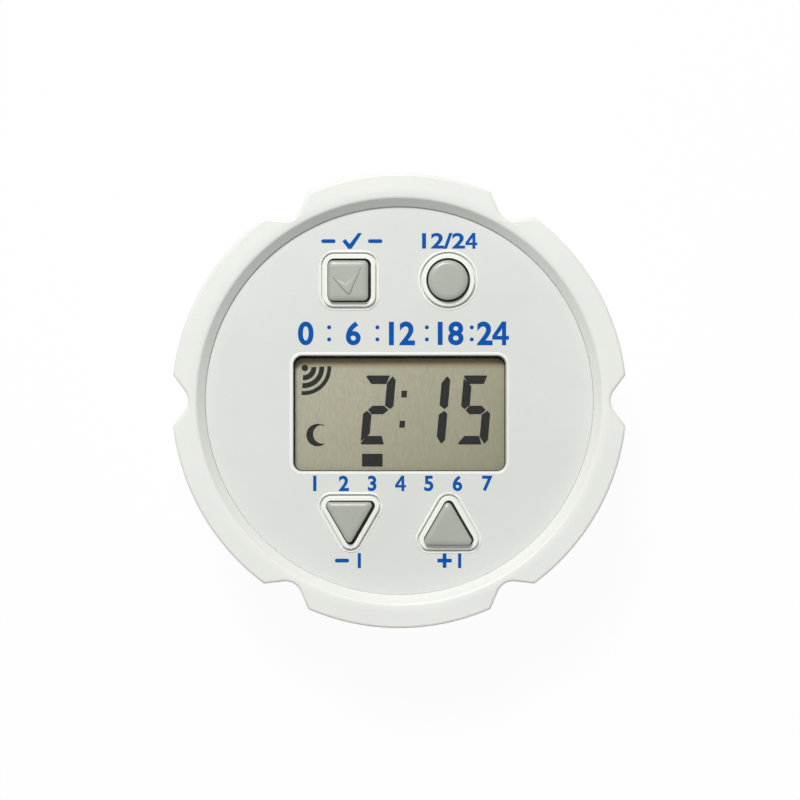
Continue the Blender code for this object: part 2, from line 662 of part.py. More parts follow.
def make_display_glass(centre):
    """Two bonded glasses; the front one overhangs above and below, over the contact strips."""
    front = rounded_box(GLASS_WIDTH, GLASS_HEIGHT, BITE)
    rear = rounded_box(GLASS_WIDTH - 2 * BITE, WINDOW_HEIGHT, BITE)
    glass = plate("lcd_glass", [front], GLASS_SPLIT, GLASS_TOP, PARTS, DISPLAY_GLASS, centre)
    combine(glass, tool_plate("lcd_rear_glass", [rear], GLASS_BOTTOM, GLASS_SPLIT + BITE, centre),
            "UNION")


def make_display_holder(centre):
    """An open tray round the glass, with a slot for each contact strip."""
    outer = rounded_box(HOLDER_WIDTH, HOLDER_HEIGHT, HOLDER_WALL)
    inner = rounded_box(GLASS_WIDTH + 2 * SEAT_GAP, GLASS_HEIGHT + 2 * SEAT_GAP, BITE)
    holder = plate("lcd_holder", [outer], HOLDER_BOTTOM, GLASS_TOP, PARTS, WHITE_HOLDER, centre)
    combine(holder, tool_plate("holder_tray", [inner], HOLDER_BOTTOM + HOLDER_FLOOR,
                               GLASS_TOP + OVERRUN, centre), "DIFFERENCE")
    strip_y = GLASS_HEIGHT / 2 - GLASS_LEDGE / 2
    slot_length = GLASS_WIDTH - 2 * HOLDER_WALL
    slots = [rounded_box(slot_length, STRIP_WIDTH + 2 * SEAT_GAP, BITE, (0.0, side * strip_y))
             for side in (1, -1)]
    combine(holder, tool_plate("holder_slots", slots, HOLDER_BOTTOM - OVERRUN,
                               HOLDER_BOTTOM + HOLDER_FLOOR + SEAT_GAP, centre), "DIFFERENCE")
    strip = rounded_box(slot_length - 2 * SEAT_GAP, STRIP_WIDTH, BITE)
    for name, side in (("zebra_strip_upper", 1), ("zebra_strip_lower", -1)):
        plate(name, [strip], BOARD_TOP + SEAT_GAP, GLASS_SPLIT - SEAT_GAP, PARTS, PINK_RUBBER,
              (0.0, side * strip_y - DISPLAY_DROP))


def make_key(key):
    """One key with its retaining flange, the rubber dome under it and the dome's carbon pill."""
    name, place = key[0], key[-1]
    flange_top = FACE_BOTTOM - SEAT_GAP
    flange_bottom = flange_top - KEY_FLANGE_THICKNESS
    stem_bottom = flange_bottom - KEY_STEM_LENGTH
    cap = plate(name + "_button", [key_outline(key, 0.0)], stem_bottom, FACE_TOP + KEY_RISE,
                PARTS, GREY_KEY, place)
    bevel_rims(cap, KEY_EDGE_ROUND, 2)
    combine(cap, tool_plate(name + "_flange", [key_outline(key, KEY_FLANGE_WIDTH)],
                            flange_bottom, flange_top, place), "UNION")
    dome_top = stem_bottom - SEAT_GAP
    make_dome(name, dome_top, place)


def make_dome(name, top, place):
    """A hollow silicone dome on the board and the carbon pill that closes the contact."""
    foot = BOARD_TOP + SEAT_GAP
    under = top - DOME_TOP_THICKNESS
    profile = [
        (0.0, top),
        (DOME_TOP_RADIUS, top),
        (DOME_SKIRT_RADIUS, foot + DOME_FOOT_THICKNESS),
        (DOME_RADIUS, foot + DOME_FOOT_THICKNESS),
        (DOME_RADIUS, foot),
        (DOME_SKIRT_RADIUS - DOME_WALL, foot),
        (DOME_TOP_RADIUS - DOME_WALL, under),
        (0.0, under),
    ]
    turned(name + "_dome", profile, SMALL_STEPS, PARTS, GREY_RUBBER, place=place)
    pill_bottom = BOARD_TOP + KEY_TRAVEL + PILL_AIR
    pill = [circle(PILL_RADIUS, TINY_STEPS)]
    plate(name + "_contact_pill", pill, pill_bottom, under - SEAT_GAP, PARTS, CARBON, place)


def make_circuit_board():
    """The round board, with holes for the bosses and the small screws."""
    board = plate("circuit_board", [circle(BOARD_RADIUS, ROUND_STEPS)], BOARD_BOTTOM, BOARD_TOP,
                  PARTS, GREEN_BOARD)
    holes = [circle(CASE_BOSS_RADIUS + SEAT_GAP, SMALL_STEPS, place)
             for place in case_screw_places()]
    holes += [circle(BOARD_SCREW_RADIUS + SEAT_GAP, TINY_STEPS, place)
              for place in board_screw_places()]
    combine(board, tool_plate("board_holes", holes, BOARD_BOTTOM - OVERRUN, BOARD_TOP + OVERRUN),
            "DIFFERENCE")


def make_board_parts():
    """Resin-covered chip, watch crystal and chip capacitors under the board."""
    under = BOARD_BOTTOM - SEAT_GAP
    middle = (WELL_OUTER_RADIUS + CASE_SCREW_CIRCLE) / 2
    flat_share, waist_share = 0.55, 0.9
    profile = [
        (0.0, under),
        (CHIP_RADIUS, under),
        (CHIP_RADIUS * waist_share, under - CHIP_HEIGHT / 2),
        (CHIP_RADIUS * flat_share, under - CHIP_HEIGHT),
        (0.0, under - CHIP_HEIGHT),
    ]
    turned("controller_chip", profile, SMALL_STEPS, PARTS, BLACK_RESIN,
           place=polar(middle, CHIP_ANGLE))
    make_crystal(middle, under)
    for number, angle in enumerate(CAPACITOR_ANGLES, start=1):
        block = rounded_box(CAPACITOR_LENGTH, CAPACITOR_WIDTH, CAPACITOR_WIDTH / CORNER_STEPS)
        plate(f"chip_capacitor_{number}", [block], under - CAPACITOR_WIDTH, under, PARTS, CERAMIC,
              polar(middle, angle))


def make_crystal(circle_radius, under):
    """The watch crystal: a small steel can that lies along the board."""
    half = CRYSTAL_LENGTH / 2
    rim = CRYSTAL_RADIUS / CORNER_STEPS
    profile = [
        (0.0, half),
        (CRYSTAL_RADIUS - rim, half),
        (CRYSTAL_RADIUS, half - rim),
        (CRYSTAL_RADIUS, -half + rim),
        (CRYSTAL_RADIUS - rim, -half),
        (0.0, -half),
    ]
    can = turned("timing_crystal", profile, TINY_STEPS, PARTS, STEEL)
    can.rotation_euler = (math.pi / 2, 0.0, CRYSTAL_ANGLE)
    can.location = (*polar(circle_radius, CRYSTAL_ANGLE), under - CRYSTAL_RADIUS)


def make_cell_and_contacts():
    """The coin cell, the leaf on its small cap and the strip on its side."""
    profile = [
        (0.0, CELL_TOP),
        (CELL_CAP_RADIUS, CELL_TOP),
        (CELL_CAP_RADIUS + CELL_STEP, CELL_TOP - CELL_STEP),
        (CELL_RADIUS - CELL_EDGE, CELL_TOP - CELL_STEP),
        (CELL_RADIUS, CELL_TOP - CELL_STEP - CELL_EDGE),
        (CELL_RADIUS, CELL_BOTTOM + CELL_EDGE),
        (CELL_RADIUS - CELL_EDGE, CELL_BOTTOM),
        (0.0, CELL_BOTTOM),
    ]
    turned("coin_cell", profile, ROUND_STEPS, PARTS, STEEL)
    high = BOARD_BOTTOM - SEAT_GAP - CONTACT_METAL / 2
    low = CELL_TOP + SEAT_GAP + CONTACT_METAL / 2
    leaf = [(-CELL_CAP_RADIUS, high), (-CONTACT_FOOT, high), (0.0, low), (CONTACT_FOOT, low),
            (CONTACT_FOOT + CONTACT_LEG, high)]
    formed_strip("negative_contact", leaf, CONTACT_WIDTH, CONTACT_METAL, STEEL)
    side = CELL_RADIUS + SEAT_GAP + CONTACT_METAL / 2
    strip = [(side + CONTACT_FOOT, high), (side, high), (side, CELL_TOP - CONTACT_LEG)]
    formed_strip("positive_contact", strip, CONTACT_WIDTH, CONTACT_METAL, STEEL)


def make_battery_cover():
    """The turn-to-lock cover with its seal ring; it turns about the cap's axis."""
    seal_middle = WELL_RADIUS + SEAL_INSET
    groove_inner = seal_middle - SEAL_WIRE_RADIUS - SEAT_GAP / 2
    groove_outer = seal_middle + SEAL_WIRE_RADIUS + SEAT_GAP / 2
    groove_floor = COVER_TOP - GROOVE_DEPTH
    boss_radius = NOTCH_RADIUS - COVER_SKIN
    boss_bottom = PARTITION_BOTTOM + SEAT_GAP
    profile = [
        (0.0, COVER_TOP),
        (groove_inner, COVER_TOP),
        (groove_inner, groove_floor),
        (groove_outer, groove_floor),
        (groove_outer, COVER_TOP),
        (COVER_RADIUS, COVER_TOP),
        (COVER_RADIUS, COVER_FLANGE_BOTTOM),
        (boss_radius, COVER_FLANGE_BOTTOM),
        (boss_radius - COVER_SKIN, boss_bottom),
        (0.0, boss_bottom),
    ]
    cover = turned("battery_cover", profile, ROUND_STEPS, PARTS, WHITE_SHELL)
    notches = [sector(NOTCH_RADIUS, COVER_RADIUS + OVERRUN, angle + COVER_TURN, NOTCH_ANGLE,
                      CORNER_STEPS) for angle in cover_lock_angles()]
    combine(cover, tool_plate("cover_notches", notches, boss_bottom - OVERRUN,
                              COVER_TOP + OVERRUN), "DIFFERENCE")
    slot = rounded_box(COIN_SLOT_LENGTH, COIN_SLOT_WIDTH, COIN_SLOT_WIDTH / 2 - WELD)
    combine(cover, tool_plate("coin_slot", [slot], boss_bottom - OVERRUN,
                              boss_bottom + COIN_SLOT_DEPTH), "DIFFERENCE")
    seal_height = LEDGE_BOTTOM - SEAT_GAP / 4 - SEAL_WIRE_RADIUS
    ring = [(seal_middle + x, seal_height - z)
            for x, z in circle(SEAL_WIRE_RADIUS, 2 * CORNER_STEPS)]
    turned("cover_seal", ring, ROUND_STEPS * 3 // 4, PARTS, BLACK_RUBBER, closed=True)


def make_screw(name, place, head_bottom, sizes):
    """A cross-head screw that points up; sizes are head radius and height, shank radius, length."""
    head_radius, head_height, shank_radius, length = sizes
    head_top = head_bottom + head_height
    tip = head_top + length
    profile = [
        (0.0, tip),
        (shank_radius / 2, tip),
        (shank_radius, tip - SCREW_TIP),
        (shank_radius, head_top),
        (head_radius, head_top),
        (head_radius, head_bottom + head_height / 3),
        (head_radius * 0.85, head_bottom),
        (0.0, head_bottom),
    ]
    screw = turned(name, profile, TINY_STEPS, PARTS, STEEL, place=place)
    arm = head_radius * CROSS_LENGTH_SHARE / 2
    half = head_radius * CROSS_WIDTH_SHARE / 2
    end = half * CROSS_TAPER_SHARE
    cross = []
    for quarter in range(4):
        lean = math.pi / 2 * quarter
        for x, y in ((arm, -end), (arm, end), (half, half)):
            cross.append((x * math.cos(lean) - y * math.sin(lean),
                          x * math.sin(lean) + y * math.cos(lean)))
    recess = tool_plate(name + "_recess", [cross], head_bottom - OVERRUN,
                        head_bottom + head_height * CROSS_DEPTH_SHARE, place)
    combine(screw, recess, "DIFFERENCE")


def make_screws():
    """Four case screws through the partition and four board screws through the board."""
    case_sizes = (CASE_HEAD_RADIUS, CASE_HEAD_HEIGHT, CASE_SCREW_RADIUS, CASE_SCREW_LENGTH)
    for number, place in enumerate(case_screw_places(), start=1):
        make_screw(f"case_screw_{number}", place, PARTITION_BOTTOM + HEAD_SUNK, case_sizes)
    board_sizes = (BOARD_HEAD_RADIUS, BOARD_HEAD_HEIGHT, BOARD_SCREW_RADIUS, BOARD_SCREW_LENGTH)
    head_bottom = BOARD_BOTTOM - SEAT_GAP - BOARD_HEAD_HEIGHT
    for number, place in enumerate(board_screw_places(), start=1):
        make_screw(f"board_screw_{number}", place, head_bottom, board_sizes)


def make_plunger():
    """The pin that the bottle's lip pushes up, its carbon pill and its return spring."""
    place = polar(PLUNGER_CIRCLE, PLUNGER_ANGLE)
    flange_bottom = PARTITION_TOP + SEAT_GAP
    flange_top = flange_bottom + PLUNGER_FLANGE_THICKNESS
    tip = NECK_DEPTH - PLUNGER_TRAVEL
    pill_top = BOARD_BOTTOM - PLUNGER_TRAVEL - PILL_AIR
    pill_bottom = pill_top - PLUNGER_PILL_THICKNESS
    stem_top = pill_bottom - SEAT_GAP
    profile = [
        (0.0, stem_top),
        (PLUNGER_STEM_RADIUS, stem_top),
        (PLUNGER_STEM_RADIUS, flange_top),
        (PLUNGER_FLANGE_RADIUS, flange_top),
        (PLUNGER_FLANGE_RADIUS, flange_bottom),
        (PIN_RADIUS, flange_bottom),
        (PIN_RADIUS, tip + PIN_ROUND),
        (PIN_RADIUS - PIN_ROUND / 3, tip + PIN_ROUND / 3),
        (PIN_RADIUS - PIN_ROUND, tip),
        (0.0, tip),
    ]
    turned("opening_plunger", profile, SMALL_STEPS, PARTS, GREY_KEY, place=place)
    pill = [circle(PLUNGER_STEM_RADIUS, TINY_STEPS)]
    plate("plunger_contact_pill", pill, pill_bottom, pill_top, PARTS, CARBON, place)
    make_spring(place, flange_top + SEAT_GAP, BOARD_BOTTOM - SEAT_GAP)


def make_spring(place, low, high):
    """The return spring: one wire wound between two heights."""
    start = low + SPRING_WIRE_RADIUS
    climb = high - low - 2 * SPRING_WIRE_RADIUS
    steps = round(SPRING_TURNS * 10)
    points = []
    for step in range(steps + 1):
        x, y = polar(SPRING_RADIUS, 2 * math.pi * SPRING_TURNS * step / steps)
        points.append((place[0] + x, place[1] + y, start + climb * step / steps))
    tube("plunger_spring", points, SPRING_WIRE_RADIUS, 1, STEEL)
    least = min((Vector(a) - Vector(b)).length
                for first, a in enumerate(points) for b in points[first + 5:])
    print("least gap of the spring to itself, mm:", (least - 2 * SPRING_WIRE_RADIUS) / 0.001)


def make_buzzer():
    """The sounder disc on the partition and its two leads up to the board."""
    radius = ROOM_RADIUS - BUZZER_RADIUS - BOARD_GAP
    place = polar(radius, BUZZER_ANGLE)
    low = PARTITION_TOP + SEAT_GAP
    middle, top = low + BUZZER_METAL, low + 2 * BUZZER_METAL
    profile = [
        (0.0, top),
        (BUZZER_CERAMIC_RADIUS, top),
        (BUZZER_CERAMIC_RADIUS, middle),
        (BUZZER_RADIUS, middle),
        (BUZZER_RADIUS, low),
        (0.0, low),
    ]
    turned("buzzer_disc", profile, SMALL_STEPS + SMALL_STEPS // 2, PARTS, BRASS, place=place)
    starts = {"buzzer_lead_red": (0.0, top, 1), "buzzer_lead_black": (4.2 / 5, middle, -1)}
    for name, (share, height, side) in starts.items():
        make_lead(name, place, share * BUZZER_RADIUS, height + SEAT_GAP, side)


def make_lead(name, place, out, height, side):
    """One thin wire that rises from the disc, leans over and meets the board's underside."""
    along = Vector((-math.sin(BUZZER_ANGLE), math.cos(BUZZER_ANGLE), 0.0)) * side
    start = Vector((*place, height + LEAD_RADIUS)) + along * out
    end_height = BOARD_BOTTOM - SEAT_GAP
    end = start + along * LEAD_SPREAD
    steps = 2 * CORNER_STEPS
    points = []
    for step in range(steps + 1):
        share = step / steps
        ease = share * share * (3 - 2 * share)
        spot = start.lerp(end, ease)
        spot.z = start.z - LEAD_RADIUS + (end_height - start.z + LEAD_RADIUS) * share
        points.append(tuple(spot))
    material = RED_WIRE if side > 0 else BLACK_WIRE
    tube(name, points, LEAD_RADIUS, 1, material)


def make_liner():
    """The foam ring that the bottle's lip seals on, with a hole for the plunger."""
    hole = circle(PIN_RADIUS + 2 * RUN_GAP, SMALL_STEPS, polar(PLUNGER_CIRCLE, PLUNGER_ANGLE))
    high = NECK_DEPTH + LINER_THICKNESS
    liner = plate("seal_liner", [circle(LINER_RADIUS, ROUND_STEPS)], NECK_DEPTH, high, PARTS,
                  WHITE_FOAM)
    cuts = [circle(LINER_INNER_RADIUS, ROUND_STEPS), hole]
    combine(liner, tool_plate("liner_holes", cuts, NECK_DEPTH - OVERRUN, high + OVERRUN),
            "DIFFERENCE")


def build_cap():
    """Make every piece of the cap."""
    make_cap_shell()
    make_face_plate()
    make_display()
    for key in key_list():
        make_key(key)
    make_circuit_board()
    make_board_parts()
    make_cell_and_contacts()
    make_battery_cover()
    make_screws()
    make_plunger()
    make_buzzer()
    make_liner()


build_cap()
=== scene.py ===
"""Looks of the timer pill bottle cap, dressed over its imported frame.

Shapes are made in millimetres and turned into metres when they become objects. The finer
pieces made here stand for the plain solids that they replace, in the same places.
"""

import math

import bmesh
import bpy
from mathutils import Matrix, Vector


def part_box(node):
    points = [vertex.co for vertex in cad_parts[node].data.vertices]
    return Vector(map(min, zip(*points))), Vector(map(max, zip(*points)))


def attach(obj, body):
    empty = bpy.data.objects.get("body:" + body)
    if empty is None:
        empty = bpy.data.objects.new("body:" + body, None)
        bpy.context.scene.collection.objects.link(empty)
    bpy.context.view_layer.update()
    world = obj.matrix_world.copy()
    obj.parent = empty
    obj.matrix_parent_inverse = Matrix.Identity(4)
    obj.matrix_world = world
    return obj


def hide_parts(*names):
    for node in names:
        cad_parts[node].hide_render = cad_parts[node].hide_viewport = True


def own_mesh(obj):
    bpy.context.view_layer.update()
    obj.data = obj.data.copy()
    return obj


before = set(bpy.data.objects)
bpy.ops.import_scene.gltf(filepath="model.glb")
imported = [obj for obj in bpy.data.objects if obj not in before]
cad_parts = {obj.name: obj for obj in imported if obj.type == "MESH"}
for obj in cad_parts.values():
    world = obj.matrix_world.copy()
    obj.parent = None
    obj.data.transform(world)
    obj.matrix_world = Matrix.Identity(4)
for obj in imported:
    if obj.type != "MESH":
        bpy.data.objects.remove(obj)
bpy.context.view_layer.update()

MM = 0.001

# Sizes of the frame that the finer pieces follow, in millimetres
CAP_RADIUS = 30.0
RIM_TOP = 25.0
FACE_RECESS = 25.72
FACE_RADIUS = 25.71
FACE_TOP = 23.0
FACE_BOTTOM = 21.6
LEDGE_RADIUS = 24.2
ROOM_RADIUS = 25.1
PARTITION_TOP = 12.2
PARTITION_BOTTOM = 10.4
NECK_RADIUS = 26.6
KEY_FOOT = 20.3
KEY_FLANGE = (20.7, 21.4, 0.6)
KEY_GAP = 0.25
KEY_TOP = 24.52
SCALLOP_DEPTH = 2.15
SCALLOP_FLOOR = 2.2
SCALLOP_LEAN = math.radians(40.0)
WINDOW = (28.07, 15.2, 1.13)
WINDOW_CENTRE = (0.0, -1.7)
FILM_TOP = 21.1
SCREW_CIRCLE = 18.6
PLUNGER_PLACE = (16.228, 16.228)
COVER_SLOT = (15.0, 1.8)

# The smallest corner that an outline keeps, so that its points stay apart
LEAST_CORNER = 0.03

# Display figures and the sound sign
DIGIT = (3.97, 9.2, 1.14)
DIGIT_FOOT = -5.85
DIGIT_SLANT = math.radians(5.0)
SOUND_SIGN = (-12.74, 4.40)

# Rows of the print, how deep it sits in the face and how thick it is
SCALE_ROW = 8.91
DAY_ROW = -10.97
TOP_SIGN_ROW = 21.13
LOW_SIGN_ROW = -21.2
INK_SUNK = 0.01
INK_THICK = 0.03

# Slots of the face plate's further materials: white, and a painted shade for the deep walls of the
# key openings
WHITE_SLOT = 1
PAINTED_SHADE_SLOT = 2

# Shares of white light that floor and world give
FLOOR_GLOW = 0.95
WORLD_LIGHT = 0.295

WHITE = (0.79, 0.80, 0.755)
PALE = (0.682, 0.697, 0.664)
GREY = (0.375, 0.39, 0.34)
BLUE = (0.0, 0.10, 0.45)


# Shapes

def polar(radius, angle):
    return radius * math.cos(angle), radius * math.sin(angle)


def circle(radius, steps, centre=(0.0, 0.0)):
    """A ring of points, turned a little so that round cuts share no corner."""
    points = [polar(radius, 2 * math.pi * (step + 0.37) / steps) for step in range(steps)]
    return [(centre[0] + x, centre[1] + y) for x, y in points]


def rounded_polygon(sides, core, corner, turn, steps, centre=(0.0, 0.0)):
    """A regular polygon with round corners; one side and no core give a circle."""
    if corner < LEAST_CORNER and sides > 1:
        core -= (LEAST_CORNER - corner) / math.cos(math.pi / sides)
        corner = LEAST_CORNER
    points = []
    half = math.pi / sides
    for side in range(sides):
        middle = turn + 2 * half * side
        x, y = polar(core, middle)
        last = steps if sides > 1 else steps - 1
        for step in range(last + 1):
            dx, dy = polar(corner, middle - half + 2 * half * step / steps)
            points.append((centre[0] + x + dx, centre[1] + y + dy))
    return points


def rounded_box(width, height, corner, centre=(0.0, 0.0), steps=8):
    points = []
    across, up = width / 2 - corner, height / 2 - corner
    for side, (x, y) in enumerate([(across, up), (-across, up), (-across, -up), (across, -up)]):
        for step in range(steps + 1):
            dx, dy = polar(corner, math.pi / 2 * (side + step / steps))
            points.append((centre[0] + x + dx, centre[1] + y + dy))
    return points


def sector(inner, outer, middle, spread, steps):
    angles = [middle - spread / 2 + spread * step / steps for step in range(steps + 1)]
    outside = [polar(outer, angle) for angle in angles]
    return outside + [polar(inner, angle) for angle in reversed(angles)]


def inset(outline, distance):
    """A closed outline, drawn anticlockwise, moved inwards with mitred corners."""
    moved = []
    count = len(outline)
    for index, point in enumerate(outline):
        here = Vector(point)
        before = (here - Vector(outline[index - 1])).normalized()
        after = (Vector(outline[(index + 1) % count]) - here).normalized()
        first = Vector((-before.y, before.x))
        second = Vector((-after.y, after.x))
        middle = (first + second).normalized()
        moved.append(tuple(here + middle * distance / max(middle.dot(first), 0.3)))
    return moved


def screw_places():
    """The centres of the four case screws."""
    return [polar(SCREW_CIRCLE, math.pi / 2 * turn) for turn in range(4)]


def scalloped_outline():
    """The cap from above: a circle with six scallops, each a round floor and two flanks."""
    half_floor = SCALLOP_FLOOR * math.sin(SCALLOP_LEAN)
    floor_top = SCALLOP_DEPTH - SCALLOP_FLOOR * (1 - math.cos(SCALLOP_LEAN))
    half_mouth = half_floor + floor_top / math.tan(SCALLOP_LEAN)
    mouth = math.asin(half_mouth / CAP_RADIUS)
    pitch = math.pi / 3
    points = []
    for scallop in range(6):
        middle = pitch * scallop
        for step in range(15):
            lean = SCALLOP_LEAN * (2 * step / 14 - 1)
            side = SCALLOP_FLOOR * math.sin(lean)
            out = CAP_RADIUS - SCALLOP_DEPTH + SCALLOP_FLOOR * (1 - math.cos(lean))
            points.append((out * math.cos(middle) - side * math.sin(middle),
                           out * math.sin(middle) + side * math.cos(middle)))
        for step in range(25):
            points.append(polar(CAP_RADIUS, middle + mouth + (pitch - 2 * mouth) * step / 24))
    return points


def new_object(name, mesh):
    made = bpy.data.objects.new(name, mesh)
    bpy.context.scene.collection.objects.link(made)
    return made


def to_object(name, shape):
    """Turn a shape in millimetres into an object in metres."""
    bmesh.ops.remove_doubles(shape, verts=shape.verts, dist=1e-5)
    bmesh.ops.recalc_face_normals(shape, faces=shape.faces)
    bmesh.ops.scale(shape, vec=(MM, MM, MM), verts=shape.verts)
    mesh = bpy.data.meshes.new(name)
    shape.to_mesh(mesh)
    shape.free()
    return new_object(name, mesh)


def add_loft(shape, rings, closed=False):
    """Skin a row of rings with equal numbers of points; the ends are filled unless closed."""
    rows = [[shape.verts.new(point) for point in ring] for ring in rings]
    pairs = list(zip(rows, rows[1:]))
    if closed:
        pairs.append((rows[-1], rows[0]))
    for low, high in pairs:
        for index in range(len(low)):
            after = (index + 1) % len(low)
            shape.faces.new((low[index], low[after], high[after], high[index]))
    if not closed:
        shape.faces.new(list(reversed(rows[0])))
        shape.faces.new(rows[-1])


def lofted(name, levels):
    """A solid from (outline, height) levels."""
    shape = bmesh.new()
    add_loft(shape, [[(x, y, height) for x, y in outline] for outline, height in levels])
    return to_object(name, shape)


def turned(name, profile, steps, centre=(0.0, 0.0), closed=False):
    """A turned solid from its (radius, height) profile, from one end to the other."""
    shape = bmesh.new()
    rings = [[(x, y, height) for x, y in circle(max(radius, 1e-7), steps, centre)]
             for radius, height in profile]
    add_loft(shape, rings, closed)
    return to_object(name, shape)


def prisms(name, outlines, low, high):
    """Separate flat pieces between two heights, as one object."""
    shape = bmesh.new()
    for outline in outlines:
        add_loft(shape, [[(x, y, height) for x, y in outline] for height in (low, high)])
    return to_object(name, shape)


def arc_points(centre, radius, start, end, steps):
    """Profile points on an arc, in degrees, about a (radius, height) centre."""
    points = []
    for step in range(steps + 1):
        angle = math.radians(start + (end - start) * step / steps)
        points.append((centre[0] + radius * math.cos(angle), centre[1] + radius * math.sin(angle)))
    return points


def combine(made, tool, operation="DIFFERENCE"):
    """Cut a tool out of a piece, or join it on, and keep the result as the piece's mesh."""
    step = made.modifiers.new("step", "BOOLEAN")
    step.operation = operation
    step.object = tool
    step.solver = "EXACT"
    bpy.context.view_layer.update()
    graph = bpy.context.evaluated_depsgraph_get()
    mesh = bpy.data.meshes.new_from_object(made.evaluated_get(graph))
    made.modifiers.clear()
    worn = [made.data, tool.data]
    made.data = mesh
    bpy.data.objects.remove(tool, do_unlink=True)
    for old in worn:
        bpy.data.meshes.remove(old)
    return made


def finish(made, material, body, replaced=(), sharp=32.0):
    """Shade a piece, give it its material, and ride it on its body."""
    made.data.materials.clear()
    made.data.materials.append(material)
    made.data.shade_smooth()
    made.data.set_sharp_from_angle(angle=math.radians(sharp))
    normals = made.modifiers.new("normals", "WEIGHTED_NORMAL")
    normals.keep_sharp = True
    normals.weight = 60
    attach(made, body)
    if replaced:
        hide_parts(*replaced)
    return made


# Materials

def node(tree, kind, inputs=(), **settings):
    made = tree.nodes.new(kind)
    for key, value in settings.items():
        setattr(made, key, value)
    for key, value in dict(inputs).items():
        if isinstance(value, bpy.types.NodeSocket):
            tree.links.new(value, made.inputs[key])
        else:
            made.inputs[key].default_value = value
    return made


def place_on(tree, stretch=(1.0, 1.0, 1.0)):
    spot = node(tree, "ShaderNodeTexCoord")
    return node(tree, "ShaderNodeMapping",
                {"Vector": spot.outputs["Object"], "Scale": stretch}).outputs["Vector"]


def noise(tree, size, detail=3.0, stretch=(1.0, 1.0, 1.0), rough=0.55):
    """Noise whose lumps measure about the given size in millimetres."""
    made = node(tree, "ShaderNodeTexNoise", {
        "Vector": place_on(tree, stretch), "Scale": 1.0 / (size * MM), "Detail": detail,
        "Roughness": rough})
    return made.outputs["Fac"]


def remap(tree, value, low, high, to_low, to_high):
    return node(tree, "ShaderNodeMapRange", {
        "Value": value, "From Min": low, "From Max": high, "To Min": to_low,
        "To Max": to_high}).outputs["Result"]


def blend_colours(tree, share, first, second):
    made = node(tree, "ShaderNodeMix", data_type="RGBA")
    for name, value in (("A", first), ("B", second)):
        socket = [s for s in made.inputs if s.name == name and s.type == "RGBA"][0]
        if isinstance(value, bpy.types.NodeSocket):
            tree.links.new(value, socket)
        else:
            socket.default_value = (*value, 1.0)
    share_socket = [s for s in made.inputs if s.name == "Factor" and s.type == "VALUE"][0]
    if isinstance(share, bpy.types.NodeSocket):
        tree.links.new(share, share_socket)
    else:
        share_socket.default_value = share
    return [s for s in made.outputs if s.type == "RGBA"][0]


def shade(colour, factor):
    return tuple(min(part * factor, 1.0) for part in colour)


def new_material(name, **sockets):
    made = bpy.data.materials.new(name)
    made.use_nodes = True
    shader = made.node_tree.nodes["Principled BSDF"]
    for key, value in sockets.items():
        shader.inputs[key.replace("_", " ")].default_value = value
    return made, made.node_tree, shader


def bumps(tree, shader, layers):
    """Stack bump layers of (height socket, depth in millimetres) on the shader's normal."""
    normal = None
    for height, depth in layers:
        made = node(tree, "ShaderNodeBump", {"Height": height, "Distance": depth * MM,
                                             "Strength": 1.0})
        if normal is not None:
            tree.links.new(normal, made.inputs["Normal"])
        normal = made.outputs["Normal"]
    tree.links.new(normal, shader.inputs["Normal"])


def moulded(name, colour, rough, grain=0.16, depth=0.006, drift=0.03, scratches=0.0, **sockets):
    """Moulded plastic: spark-finish grain, slow drift of colour, uneven gloss and fine wear."""
    made, tree, shader = new_material(name, **sockets)
    slow = noise(tree, 9.0, 2.0)
    fine = noise(tree, grain, 2.0, rough=0.7)
    speck = noise(tree, grain * 2.6, 4.0)
    drifted = blend_colours(tree, remap(tree, slow, 0.3, 0.7, 0.0, 1.0),
                            shade(colour, 1 - drift), shade(colour, 1 + drift * 0.6))
    flecked = blend_colours(tree, remap(tree, speck, 0.58, 0.75, 0.0, 0.35), drifted,
                            shade(colour, 0.93))
    tree.links.new(flecked, shader.inputs["Base Color"])
    tree.links.new(remap(tree, speck, 0.3, 0.7, rough - 0.07, rough + 0.07),
                   shader.inputs["Roughness"])
    layers = [(fine, depth), (noise(tree, 1.4, 3.0), depth * 2.0)]
    if scratches:
        hair = noise(tree, 0.22, 1.0, (1.0, 0.05, 1.0))
        layers.append((remap(tree, hair, 0.66, 0.70, 0.0, 1.0), scratches))
    bumps(tree, shader, layers)
    return made


def paint_shade_below(material, low, high, dark):
    """Paint shade below a height: the colour as it is above high, and dark under low."""
    tree = material.node_tree
    shader = tree.nodes["Principled BSDF"]
    plain = shader.inputs["Base Color"].links[0].from_socket
    height = node(tree, "ShaderNodeSeparateXYZ", {"Vector": place_on(tree)}).outputs["Z"]
    share = remap(tree, height, low * MM, high * MM, 1.0, 0.0)
    tree.links.new(blend_colours(tree, share, plain, dark), shader.inputs["Base Color"])


def paint_light_inside_rim(material, colour):
    """Paint light onto what stands above the face inside the rim: a paler colour there."""
    tree = material.node_tree
    shader = tree.nodes["Principled BSDF"]
    plain = shader.inputs["Base Color"].links[0].from_socket
    radius = node(tree, "ShaderNodeVectorMath", {0: place_on(tree, (1.0, 1.0, 0.0))},
                  operation="LENGTH").outputs["Value"]
    height = node(tree, "ShaderNodeSeparateXYZ", {"Vector": place_on(tree)}).outputs["Z"]
    inside = remap(tree, radius, 26.95 * MM, 26.5 * MM, 0.0, 1.0)
    above = remap(tree, height, 22.9 * MM, 23.0 * MM, 0.0, 1.0)
    share = node(tree, "ShaderNodeMath", {0: inside, 1: above}, operation="MULTIPLY").outputs[0]
    tree.links.new(blend_colours(tree, share, plain, colour), shader.inputs["Base Color"])


